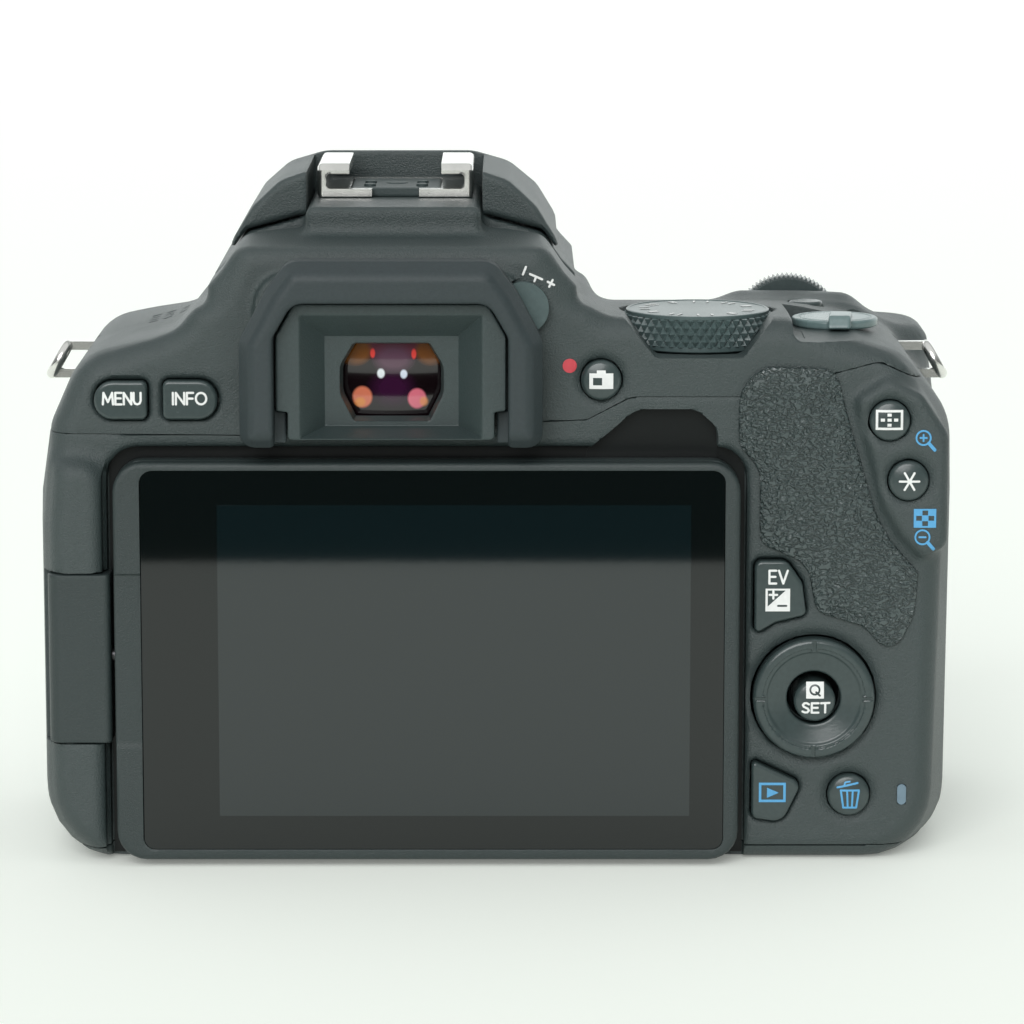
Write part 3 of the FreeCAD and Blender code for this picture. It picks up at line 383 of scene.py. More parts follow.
def leather(name, value, roughness, scale, distance):
    """Rubber with fine wrinkles that run mostly from side to side."""
    material = new_material(name, grey(value), roughness, specular=0.9)
    tree = material.node_tree
    stretch = add_node(tree, "ShaderNodeMapping", Vector=own_place(tree), Scale=(0.8, 1.0, 1.15))
    noise = noise_output(tree, stretch.outputs["Vector"], Scale=scale, Detail=1.5, Distortion=0.5)
    bumped(material, two_tones(tree, noise, 0.36, 0.60), distance)
    tint(material, grey(value * 0.95), grey(value * 1.05), scale * 0.3)
    return material


def metal(name, colour, roughness, scale=1500.0, distance=0.000004):
    material = new_material(name, colour, roughness, metallic=1.0)
    grain(material, scale, distance)
    tint(material, [c * 0.92 for c in colour], [min(c * 1.05, 1) for c in colour], 300.0)
    return material


def plain_ink(name, colour):
    """Printed or filled legends, with a slight unevenness of the ink."""
    material = new_material(name, colour, 0.45)
    grain(material, 2500.0, 0.000006)
    tint(material, [c * 0.93 for c in colour], colour, 1200.0)
    return material


# Each look by its maker, with the values it takes.
LOOK_VALUES = {
    "satin_grey": (moulded, 0.20, 0.28, 2600.0, 0.00001, 1.0, 0.7),
    # The display's plastic is the body plastic painted darker: painted shade for the lower parts, where less
    # light falls.
    "screen_plastic": (moulded, 0.038, 0.40, 5000.0, 0.00008),
    "body_plastic": (moulded, 0.050, 0.42, 4500.0, 0.00014, 1.0, 0.65),
    "eyecup_rubber": (moulded, 0.038, 0.55, 3000.0, 0.00004, 1.08),
    "dial_plastic": (moulded, 0.115, 0.30, 2600.0, 0.00003),
    "button_plastic": (moulded, 0.056, 0.24, 2600.0, 0.00001, 1.0, 0.6),
    "inner_plastic": (moulded, 0.056, 0.46, 4000.0, 0.00006),
    "display_panel": (moulded, 0.03, 0.3, 2000.0, 0.00001, 1.3),
    "board": (moulded, 0.03, 0.45, 900.0, 0.00004),
    "lamp_lens": (moulded, 0.22, 0.35, 1500.0, 0.00001, 1.25),
    "grip_rubber": (leather, 0.064, 0.36, 1700.0, 0.00055),
    "bright_metal": (metal, (0.80, 0.79, 0.76), 0.22),
    "screw_steel": (metal, (0.12, 0.12, 0.125), 0.35),
    "mirror_glass": (metal, (0.85, 0.86, 0.88), 0.04, 1500.0, 0.0000005),
    "display_glass": (new_material, (0.0035, 0.0055, 0.0055), 0.04, 0.0, 0.60),
    "clear_optics": (new_material, (0.55, 0.58, 0.62), 0.05),
    "sensor_silicon": (new_material, (0.05, 0.10, 0.11), 0.12),
    "label_black": (new_material, (0.010, 0.012, 0.012), 0.6, 0.0, 0.15),
}
LOOKS = {name: maker(name, *values) for name, (maker, *values) in LOOK_VALUES.items()}
for slot in ("display_glass", "clear_optics", "sensor_silicon"):
    grain(LOOKS[slot], 400.0, 0.0000006)
tint(LOOKS["board"], (0.008, 0.05, 0.025), (0.015, 0.09, 0.04), 500.0)
WHITE_INK = plain_ink("white_ink", (0.82, 0.83, 0.82))
BLUE_INK = plain_ink("blue_ink", (0.10, 0.38, 0.68))
RED_INK = plain_ink("red_ink", (0.62, 0.06, 0.08))

for name, item in frame["nodes"].items():
    item.data.materials.clear()
    item.data.materials.append(LOOKS[SLOT_OF[name]])

# ---------------------------------------------------------------- camera, light and floor

VIEW_TARGET = Vector((0.016, -0.0325, 0.0485))
VIEW_DISTANCE = 0.6
VIEW_PITCH = math.radians(9.7)
LENS_LENGTH = 158.2


def place_camera():
    """A long lens behind the display, looking down by just under ten degrees."""
    data = bpy.data.cameras.new("view_camera")
    data.lens = LENS_LENGTH
    data.sensor_width = 36.0
    data.clip_end = 60.0
    camera = linked("view_camera", data)
    camera.location = VIEW_TARGET + VIEW_DISTANCE * Vector((0, -math.cos(VIEW_PITCH), math.sin(VIEW_PITCH)))
    camera.rotation_euler = (math.pi / 2 - VIEW_PITCH, 0, 0)
    bpy.context.scene.camera = camera


def add_sun(name, toward, strength, spread):
    """A broad even light from one side of the studio; toward points at the light."""
    data = bpy.data.lights.new(name, "SUN")
    data.energy = strength
    data.angle = math.radians(spread)
    linked(name, data).rotation_euler = Vector(toward).to_track_quat("Z", "Y").to_euler()


def stage_plane(name, low, high, height, material):
    (left, near), (right, far) = low, high
    mesh = bpy.data.meshes.new(name)
    corners = [(left, near, height), (right, near, height), (right, far, height), (left, far, height)]
    mesh.from_pydata(corners, [], [(0, 1, 2, 3)])
    mesh.materials.append(material)
    plane = linked(name, mesh)
    return plane


# The far paper colour is lighter as painted light falloff toward the back.
PAPER_NEAR = (0.85, 0.885, 0.83)
PAPER_FAR = (0.92, 0.93, 0.905)
PAPER_GLOW = 0.20
SKY_LOW = 0.14
SKY_HIGH = 0.42
BACKDROP = 1.25


def white_paper():
    """Seamless paper painted a little lighter toward the back, a painted light falloff, and glowing faintly.
    """
    paper = new_material("paper", PAPER_NEAR, 0.95, specular=0.1)
    tree = paper.node_tree
    grain(paper, 300.0, 0.00003)
    axes = add_node(tree, "ShaderNodeSeparateXYZ", Vector=own_place(tree))
    reach = add_node(tree, "ShaderNodeMapRange", Value=axes.outputs["Y"], From_Min=-0.1, From_Max=1.5)
    tone = two_tones(tree, reach.outputs["Result"], 0.0, 1.0, PAPER_NEAR, PAPER_FAR)
    set_shader(paper, Base_Color=tone, Emission_Color=tone, Emission_Strength=PAPER_GLOW)
    return paper


def studio_world():
    """A dim room with a bright backdrop low down behind the camera body."""
    world = bpy.data.worlds.new("studio")
    world.use_nodes = True
    tree = world.node_tree
    place = add_node(tree, "ShaderNodeTexCoord")
    axes = add_node(tree, "ShaderNodeSeparateXYZ", Vector=place.outputs["Generated"])

    def change(axis, start, end, low, high):
        rise = add_node(
            tree, "ShaderNodeMapRange", Value=axes.outputs[axis],
            From_Min=start, From_Max=end, To_Min=low, To_Max=high,
        )
        return rise.outputs["Result"]

    total = add_node(tree, "ShaderNodeMath", "MULTIPLY_ADD")
    backdrop = change("Y", 0.1, 0.7, 0.0, BACKDROP)
    near_floor = change("Z", 0.30, 0.65, 1.0, 0.0)
    ceiling = change("Z", 0.05, 0.75, SKY_LOW, SKY_HIGH)
    for socket, source in zip(total.inputs, (backdrop, near_floor, ceiling)):
        tree.links.new(source, socket)
    set_sockets(tree, tree.nodes["Background"], Color=(0.95, 1.0, 0.99, 1), Strength=total.outputs["Value"])
    bpy.context.scene.world = world


def set_stage():
    stage_plane("floor", (-6, -6), (6, 12), -0.0002, white_paper())
    black = new_material("black_card", (0.0, 0.0, 0.0), 1.0, specular=0.0)
    # A card seen only in reflections darkens the top of the display as a dark studio does.
    card = stage_plane("black_card", (-0.30, -0.62), (0.34, -0.258), 0.0006, black)
    card.visible_camera = False
    card.visible_diffuse = False
    card.visible_shadow = False
    # A card under the body deepens the contact shadow.
    stage_plane("contact", (-0.035, -0.0255), (0.061, 0.012), -0.0001, black)
    studio_world()
    add_sun("key", (-0.2, -1.0, 0.55), 1.75, 40.0)
    add_sun("ceiling", (-0.1, -0.2, 1.0), 0.65, 100.0)
    bpy.context.scene.view_settings.view_transform = "Standard"


# ---------------------------------------------------------------- the casing

CORE = outline([
    (-47.6, 0, 8.5), (75.4, 0, 7.5), (75.4, 60, 10), (68.7, 68.9, 7), (53.0, 73.8, 8),
    (27.0, 74.0, 0), (-26.0, 73.2, 0), (-32.5, 71.0, 8), (-42.0, 68.6, 7), (-46.0, 59.6, 8),
    (-47.6, 50.0, 0),
])
HUMP = outline(mirrored([(26.8, 66.0, 0), (26.8, 74.6, 2), (23.6, 76.0, 3), (20.0, 83.2, 2.5)]))
ARM_SEAT = outline(
    mirrored([(24.6, 66, 0), (24.6, 78.2, 0.6), (22.9, 80, 1), (20.1, 83.8, 2), (12.6, 85.8, 0.5)])
)
GRIP = outline([(45, 8, 0), (66, 8, 0), (75.4, 8, 6), (75.4, 26, 8), (67, 31, 8), (50, 31, 6), (45, 14, 3)])
WHEEL_RIDGE = outline(
    [(10, 60, 0), (23.6, 60, 0), (23.6, 67, 1.2), (21.6, 69.8, 2), (13.5, 72.2, 4), (10, 70.5, 0)]
)
HINGE_BAND = outline([(-60, 0.8, 0), (-38.9, 0.8, 1.5), (-38.9, 54.4, 3), (-60, 55.4, 0)])
# The casing narrows toward its rear face to this outline.
REAR_SIDE = outline([
    (-46.7, 0, 10.5), (72.7, 0, 9.5), (74.0, 50, 0), (73.4, 60, 9), (68.2, 68.6, 7),
    (53.0, 73.4, 8), (27.0, 74.0, 0), (-26.0, 73.2, 0), (-32.5, 70.8, 8), (-41.8, 68.0, 7),
    (-45.6, 59.2, 8), (-46.7, 46.0, 0),
])
DRAFT = 0.3
# The ramp that rises from the eyepiece to the shoe: its rear edge, height there, and slope.
RAMP_FOOT, RAMP_LOW = -28.5, 82.7
RAMP_SLOPE = math.radians(10.5)
BUTTON_POD = outline([
    (61.9, 63.2, 1.2), (65.7, 48.6, 5), (68.0, 44.8, 4), (71.0, 41.6, 1.4), (74.4, 43.4, 2),
    (74.4, 58.6, 3), (70.8, 64.0, 2.5), (66.2, 66.2, 2),
])
SHOE_BLOCK = outline(rectangle(-11.8, 11.8, 78, 88, 1.2))
PLINTH = outline(rectangle(-18.4, 18.4, 58.5, 80.4, 5))
# Depths along Y of the casing's rear and front faces and of the raised button pod.
REAR, FRONT = -29.0, 17.0
POD_FACE = -30.6
# Depths that lie clear of the rear wall on either side, and the floor of the display's recess.
OUTSIDE, INSIDE = -40.0, -22.0
RECESS_FLOOR = -26.3
# Centres of the round parts: (x, z) on the rear and front faces, (x, y) on the top and bottom.
MOUNT_CENTRE = (0.0, 37.5)
PAD_CENTRE = (56.7, 22.6)
DIOPTER_CENTRE = (17.4, 75.6)
DIAL_CENTRE = (41.3, -14.0)
SHUTTER_CENTRE = (57.5, 26.4)
ISO_CENTRE, DISP_CENTRE = (57.4, 6.5), (65.4, 6.5)
RELEASE_CENTRE = (-38.6, 26.0)
WHEEL_CENTRE = (55.6, 19.5, 66.6)
DISHES = [
    ((27.9, 65.8), 2.7), ((66.4, 60.5), 2.7), ((69.0, 52.4), 2.7), ((61.6, 9.1), 2.85), (PAD_CENTRE, 8.3),
]
TOP_SLOPE = math.radians(6.0)


def outer_casing(x, y, z):
    """The casing's outer form, its parts run into each other with soft fillets."""
    slope = (z - 74.0) * math.cos(TOP_SLOPE) + (y + 12.0) * math.sin(TOP_SLOPE)
    rear_side = flat_distance(REAR_SIDE, x, z) - DRAFT * (y + 27.0)
    side = overlap(overlap(flat_distance(CORE, x, z), rear_side, 0.4), slope, 2.0)
    side = join(side, flat_distance(HUMP, x, z), 4.0)
    body = thick(side, y, REAR, FRONT, 2.4)
    seat = flat_distance(ARM_SEAT, x, z)
    ramp_top = (z - RAMP_LOW) * math.cos(RAMP_SLOPE) - (y - RAMP_FOOT) * math.sin(RAMP_SLOPE)
    body = join(body, overlap(thick(seat, y, -28.0, -15.4, 1.5), ramp_top, 1.2), 1.8)
    body = join(body, thick(seat, y, -12.6, 22.5, 0.6), 1.2)
    band = overlap(rear_side, flat_distance(HINGE_BAND, x, z), 1.5)
    raised = (
        (prism(SHOE_BLOCK, x, z, y, -20.5, 12.6, 0.9), 1.6),
        (prism(GRIP, x, y, z, 0.0, 68.0, 3.0), 3.0),
        (prism(WHEEL_RIDGE, y, z, x, 47.0, 64.6, 2.0), 4.0),
        (disc(x, z, y, MOUNT_CENTRE, 34.5, 10.0, 28.5, 0.8), 2.5),
        (thick(band, y, -31.6, -27.0, 1.8), 3.0),
        (prism(BUTTON_POD, x, z, y, POD_FACE, -27.0, 1.3), 1.5),
        (prism(PLINTH, x, z, y, -30.6, -27.0, 0.8), 1.0),
    )
    for piece, fillet in raised:
        body = join(body, piece, fillet)
    # A shallow dish round each round button.
    for centre, radius in DISHES:
        reach = np.hypot(x - centre[0], z - centre[1]) - radius
        body = body + np.where(y < -27.5, 0.5 * np.clip(1 - reach / 1.3, 0, 1), 0.0)
    return body


def round_well(x, y, z, centre, radius, rim, face):
    """A bore through the rear wall whose mouth, in the plane y = face, is eased."""
    return join(
        disc(x, z, y, centre, radius, OUTSIDE, INSIDE),
        disc(x, z, y, centre, radius + rim, OUTSIDE, face + rim * 0.2),
        rim,
    )


FINGER_RECESS = outline(
    [(25.9, 50, 0), (43.6, 50, 0), (43.6, 59.3, 3.0), (40.6, 61.8, 3.0), (32.6, 61.8, 3.5), (25.9, 56.05, 1)]
)
DIAL_SCALLOP = outline([
    (30.2, 75, 0), (33.1, 71.3, 2), (35.2, 68.7, 1.2), (46.8, 68.7, 1.2), (48.8, 71.3, 2),
    (52.0, 75, 0), (52.0, 90, 0), (30.2, 90, 0),
])
SWITCH_POCKET = outline([(53.6, 70.8, 1.5), (67.4, 70.8, 2), (70, 90, 0), (52.6, 90, 0)])
SHAPED_BUTTONS = {
    "menu_button": [(-39.8, 60.55, 2.5), (-32.7, 60.55, 0.8), (-32.7, 65.7, 0.8), (-39.8, 65.7, 2.5)],
    "info_button": [(-30.6, 60.55, 0.8), (-23.3, 60.55, 2.5), (-23.3, 65.8, 2.5), (-30.6, 65.8, 0.8)],
    "exposure_button": [
        (48.6, 31.3, 0.6), (51.5, 33.0, 2), (55.6, 34.0, 0.8), (55.0, 38.4, 2), (52.9, 41.4, 1.6),
        (48.6, 41.4, 1),
    ],
    "playback_button": [(48.4, 6.0, 1), (52.6, 5.4, 2), (55.2, 10.8, 1.2), (48.4, 14.0, 0.5)],
}
ROUND_BUTTONS = ("live_view_button", "af_point_button", "ae_lock_button", "erase_button")
POD_BUTTONS = ("af_point_button", "ae_lock_button")
SWITCH_PLACE = (60.3, -10.0, 70.6)
SCREEN_HOLE = outline(rectangle(-38.4, 47.5, -8, 56.7, 4.2))
EYEPIECE_HOLE = outline(rectangle(-12.1, 12.1, 58.8, 75.8, 1.6))
LAMP_HOLE = outline(rectangle(68.2, 69.4, 7.7, 10.5, 0.58))
BATTERY_OPENING = ((50.5, -13.0, -2.0), (72.5, 27.0, 2.4))
PORT_OPENING = ((-60.0, -8.0, 12.0), (-46.5, 10.0, 56.0))
SPEAKER_SLOT = (0.55, 0.35)


def openings(x, y, z):
    """Everything that is cut through the casing."""
    hole = flat_distance(SCREEN_HOLE, x, z)
    cuts = join(thick(hole, y, OUTSIDE, RECESS_FLOOR, 0.3), thick(hole - 0.5, y, OUTSIDE, REAR + 0.1), 0.8)
    cuts = join(cuts, block(x, y, z, (-55, OUTSIDE, 16.55), (-37.5, RECESS_FLOOR, 39.95), 0.2))
    cuts = join(cuts, prism(FINGER_RECESS, x, z, y, OUTSIDE, -26.6, 0.4))
    cuts = join(cuts, prism(EYEPIECE_HOLE, x, z, y, OUTSIDE, INSIDE))
    for name, points in SHAPED_BUTTONS.items():
        flat = flat_distance(outline(points), x, z)
        well = join(thick(flat - 0.16, y, OUTSIDE, INSIDE), thick(flat - 0.6, y, OUTSIDE, REAR + 0.1), 0.6)
        cuts = join(cuts, well)
    for name in ROUND_BUTTONS:
        centre, radius = round_mm(name, 0, 2)
        face = POD_FACE if name in POD_BUTTONS else REAR
        cuts = join(cuts, round_well(x, y, z, centre, radius + 0.16, 0.5, face))
    cuts = join(cuts, round_well(x, y, z, PAD_CENTRE, 8.5, 0.5, REAR))
    cuts = join(cuts, prism(LAMP_HOLE, x, z, y, OUTSIDE, INSIDE))
    cuts = join(cuts, disc(x, z, y, DIOPTER_CENTRE, 3.8, OUTSIDE, -29.1))
    cuts = join(cuts, disc(x, y, z, DIAL_CENTRE, 10.65, 68.3, 90.0, 0.3))
    cuts = join(cuts, prism(DIAL_SCALLOP, x, z, y, OUTSIDE, -14.0, 0.4), 0.8)
    cuts = join(cuts, prism(SWITCH_POCKET, x, z, y, OUTSIDE, -3.2, 0.4), 0.6)
    rest = [
        disc(x, z, y, WHEEL_CENTRE[::2], 8.3, 16.6, 22.4, 0.3),
        disc(x, y, z, SHUTTER_CENTRE, 3.75, 50.0, 90.0),
        disc(x, y, z, ISO_CENTRE, 2.55, 60.0, 90.0),
        disc(x, y, z, DISP_CENTRE, 2.15, 60.0, 90.0),
        disc(x, z, y, MOUNT_CENTRE, 27.2, 5.0, 60.0, 0.4),
        disc(x, z, y, RELEASE_CENTRE, 3.35, 5.0, 40.0),
        disc(x, y, z, (0.0, 0.0), 5.02, -2.0, 8.0),
        block(x, y, z, *BATTERY_OPENING),
        block(x, y, z, *PORT_OPENING, 0.3),
        block(x, y, z, (68.5, 0.8, 61.1), (90.0, 3.2, 67.7), 0.4),
        block(x, y, z, (-60.0, 0.8, 61.1), (-40.5, 3.2, 67.7), 0.4),
    ]
    # Rows of small speaker slots on the left shoulder.
    for slot_x in (-33.6, -31.5, -29.4):
        for slot_y in (-6.0, -3.7, -1.4, 0.9):
            low = (slot_x - SPEAKER_SLOT[0], slot_y - SPEAKER_SLOT[1], 70.0)
            high = (slot_x + SPEAKER_SLOT[0], slot_y + SPEAKER_SLOT[1], 76.0)
            rest.append(block(x, y, z, low, high))
    for cut in rest:
        cuts = join(cuts, cut)
    return cuts


TOP_ZONE = outline([
    (-200, 59.1, 0), (-40.0, 58.5, 10), (-20.0, 58.3, 10), (26.0, 60.4, 2), (32.0, 63.5, 4),
    (50.0, 63.5, 4), (60.0, 66.9, 3), (65.0, 68.2, 3), (70.5, 65.6, 3), (200, 65.6, 0),
    (200, 300, 0), (-200, 300, 0),
])
WALL = 2.2
SEAM = 0.03
FRONT_SPLIT = -12.0
BOTTOM_SPLIT = 2.0


def casing_part(zone):
    """The field of one cover: the casing's wall, without its openings, inside a zone."""

    def field(x, y, z):
        outer = outer_casing(x, y, z)
        inner = np.maximum(outer + WALL, -24.4 - y)
        bed = disc(x, y, z, DIAL_CENTRE, 11.8, 66.4, 71.5)
        switch_bed = block(x, y, z, (52.4, -27.5, 68.4), (68.0, -2.2, 70.6))
        wall = join(np.maximum(outer, -inner), np.maximum(np.minimum(bed, switch_bed), outer))
        wall = carve(wall, openings(x, y, z), 0.15)
        return overlap(wall, zone(x, y, z) + SEAM, 0.06)

    return field


def top_zone(x, y, z):
    return flat_distance(TOP_ZONE, x, z) + 0 * y


def below_top(x, y, z):
    return -top_zone(x, y, z)


def rear_zone(x, y, z):
    return np.maximum(np.maximum(below_top(x, y, z), y - FRONT_SPLIT), BOTTOM_SPLIT - z)


def front_zone(x, y, z):
    return np.maximum(np.maximum(below_top(x, y, z), FRONT_SPLIT - y), BOTTOM_SPLIT - z)


def bottom_zone(x, y, z):
    return z - BOTTOM_SPLIT + 0 * (x + y)


def make_casing():
    paint = LOOKS["body_plastic"]
    form("rear_cover", casing_part(rear_zone), 0.5, paint, (-48, -32, 0), (76, -12, 69))
    form("top_cover", casing_part(top_zone), 0.5, paint, (-47, -31, 57.5), (76, 31.5, 88.5))
    form("front_cover", casing_part(front_zone), 0.7, paint, (-48, -12, 0), (76, 31.5, 69))
    form("bottom_cover", casing_part(bottom_zone), 0.4, paint, (-48, -30, -0.2), (76, 31.5, 2.2))


make_casing()

# ---------------------------------------------------------------- buttons and the cross pad


def dished(x, z, centre, radius, depth):
    """How far a face of this radius is hollowed (or raised, for a negative depth) at a point."""
    return depth * np.clip(1 - ((x - centre[0]) ** 2 + (z - centre[1]) ** 2) / radius**2, 0, 1)


# How far the middle of a round button stands out past its rim.
CROWN = 0.45


def round_button(node):
    low, high = box_mm(node)
    centre, radius = round_mm(node, 0, 2)

    def field(x, y, z):
        depth = y + dished(x, z, centre, radius, CROWN) - CROWN
        return disc(x, z, depth, centre, radius, low[1], high[1] - CROWN, 0.5)

    form(node, field, 0.16, LOOKS["button_plastic"], smooth_angle=50)


def shaped_button(node, points):
    low, high = box_mm(node)
    line = outline(points)
    cap = LOOKS["button_plastic"]
    form(node, lambda x, y, z: prism(line, x, z, y, low[1], high[1], 0.45), 0.16, cap, smooth_angle=50)


TICK_RADIUS = 7.2


def turned_by(angle, u, v):
    """The coordinates (u, v) in axes that are turned by the angle."""
    return u * math.cos(angle) + v * math.sin(angle), v * math.cos(angle) - u * math.sin(angle)


def tick(u, v, w, half_sizes):
    """A sharp-edged bar about the origin."""
    gaps = [np.abs(p) - half for p, half in zip((u, v, w), half_sizes)]
    return np.maximum(np.maximum(gaps[0], gaps[1]), gaps[2])


def cross_pad(x, y, z):
    """The four-way pad: a rounded rim, a ring line, a dished face and four ticks."""
    radius = np.hypot(x - PAD_CENTRE[0], z - PAD_CENTRE[1])
    pad = thick(radius - 8.2, y, -30.6, -27.6, 0.7)
    slope = np.interp(radius, [3.6, 4.4, 6.2, 6.5], [-29.6, -29.75, -30.15, -30.42])
    pad = overlap(pad, np.where(radius < 6.9, slope - y, -1.0), 0.25)
    for degrees in range(0, 360, 90):
        along, across = turned_by(math.radians(degrees), x - PAD_CENTRE[0], z - PAD_CENTRE[1])
        bar = tick(along - TICK_RADIUS, across, y + 30.4, (0.62, 0.42, 0.18))
        notch = tick(along - TICK_RADIUS, across, y + 30.6, (0.7, 0.2, 0.22))
        pad = carve(join(pad, bar, 0.1), notch, 0.1)
    return carve(pad, radius - 3.6, 0.3)


for button in ROUND_BUTTONS + ("set_button",):
    round_button(button)
for button, points in SHAPED_BUTTONS.items():
    shaped_button(button, points)
form("cross_key_pad", cross_pad, 0.16, LOOKS["button_plastic"], smooth_angle=50)

# ---------------------------------------------------------------- legends

# Letters as strokes in a box one unit high; each stroke is a list of (u, v) points.
LETTERS = {
    "E": (0.50, [[(0.5, 0), (0, 0), (0, 1), (0.5, 1)], [(0, 0.52), (0.44, 0.52)]]),
    "F": (0.46, [[(0, 0), (0, 1), (0.46, 1)], [(0, 0.5), (0.42, 0.5)]]),
    "I": (0.02, [[(0, 0), (0, 1)]]),
    "M": (0.84, [[(0, 0), (0.06, 1), (0.42, 0.2), (0.78, 1), (0.84, 0)]]),
    "N": (0.62, [[(0, 0), (0, 1), (0.62, 0), (0.62, 1)]]),
    "O": (0.78, [[(0.39 + 0.39 * math.cos(t * 0.3927), 0.5 + 0.5 * math.sin(t * 0.3927))
                  for t in range(17)]]),
    "S": (0.48, [[(0.46, 0.88), (0.3, 1), (0.14, 0.98), (0.02, 0.8), (0.08, 0.62), (0.38, 0.42), (0.47, 0.22),
                  (0.36, 0.03), (0.18, 0), (0.0, 0.1)]]),
    "T": (0.62, [[(0, 1), (0.62, 1)], [(0.31, 1), (0.31, 0)]]),
    "U": (0.58, [[(0, 1), (0, 0.32), (0.1, 0.07), (0.29, 0), (0.48, 0.07), (0.58, 0.32), (0.58, 1)]]),
    "V": (0.64, [[(0, 1), (0.32, 0), (0.64, 1)]]),
}


def stroke(points, width):
    """A flat field of a drawn line."""

    def flat(u, v):
        best = np.full(np.broadcast(u, v).shape, 1e9)
        for (u0, v0), (u1, v1) in zip(points, points[1:]):
            du, dv = u1 - u0, v1 - v0
            t = np.clip(((u - u0) * du + (v - v0) * dv) / (du * du + dv * dv), 0, 1)
            best = np.minimum(best, np.hypot(u - u0 - t * du, v - v0 - t * dv))
        return best - width / 2

    return flat


def drawn(*parts):
    """Several flat fields as one."""
    return lambda u, v: functools.reduce(np.minimum, [part(u, v) for part in parts])


def without(first, second):
    return lambda u, v: np.maximum(first(u, v), -second(u, v))


def shape(points):
    line = outline([(u, v, 0) for u, v in points])
    return lambda u, v: flat_distance(line, u, v)


def patch(left, right, low, high):
    return shape([(left, low), (right, low), (right, high), (left, high)])


def cell(u0, v0, half_width, half_height):
    return patch(u0 - half_width, u0 + half_width, v0 - half_height, v0 + half_height)


def spot(u0, v0, radius):
    return lambda u, v: np.hypot(u - u0, v - v0) - radius


def ring_line(u0, v0, radius, width):
    return lambda u, v: np.abs(np.hypot(u - u0, v - v0) - radius) - width / 2


def word(text, u0, v0, height, width, weight):
    """A word whose lower left corner is at (u0, v0), stretched to the given width."""
    natural = sum(LETTERS[c][0] for c in text) + 0.2 * (len(text) - 1)
    scale = (width - weight) / natural
    rise = height - weight
    parts, pen = [], u0 + weight / 2
    for c in text:
        advance, strokes = LETTERS[c]
        for line in strokes:
            parts.append(stroke([(pen + u * scale, v0 + weight / 2 + v * rise) for u, v in line], weight))
        pen += (advance + 0.2) * scale
    return drawn(*parts)


# Half the thickness of the ink, and how far its middle stands out from the casing.
INK_DEPTH = 0.05
INK_LIFT = 0.09


def casing_depth(vertices):
    """How deep the casing's rear surface lies, along Y, under each vertex."""
    x, z = vertices[:, 0:1], vertices[:, 2:3]
    levels = np.linspace(-32.0, -22.0, 201)[None, :]
    return levels[0][np.argmax(outer_casing(x, levels, z) < 0, axis=1)]


def legend(name, flat, box, face, look, body, slot, step=0.06, crown=None, follow=False):
    """A thin printed mark on a face that looks along -Y; box is (left, right, low, high)."""
    left, right, low, high = box

    def field(x, y, z):
        level = face if crown is None else face + CROWN - dished(x, z, *crown, CROWN)
        return np.maximum(flat(x, z) + 0 * y, np.abs(y - level) - INK_DEPTH)

    deep = face + INK_DEPTH + (CROWN if crown else 0)
    vertices, faces = surface(field, (left, face - INK_DEPTH, low), (right, deep, high), step)
    if follow:
        vertices[:, 1] += casing_depth(vertices) - face - INK_LIFT
    return add_mesh(name, vertices, faces, look, body, slot)


def magnifier(u, v, minus):
    """A round glass with a handle toward the lower right and a plus or minus in it."""
    parts = [
        ring_line(u, v, 0.95, 0.24),
        stroke([(u + 0.72, v - 0.72), (u + 1.5, v - 1.62)], 0.46),
        stroke([(u - 0.42, v), (u + 0.42, v)], 0.25),
    ]
    if not minus:
        parts.append(stroke([(u, v - 0.42), (u, v + 0.42)], 0.25))
    return drawn(*parts)


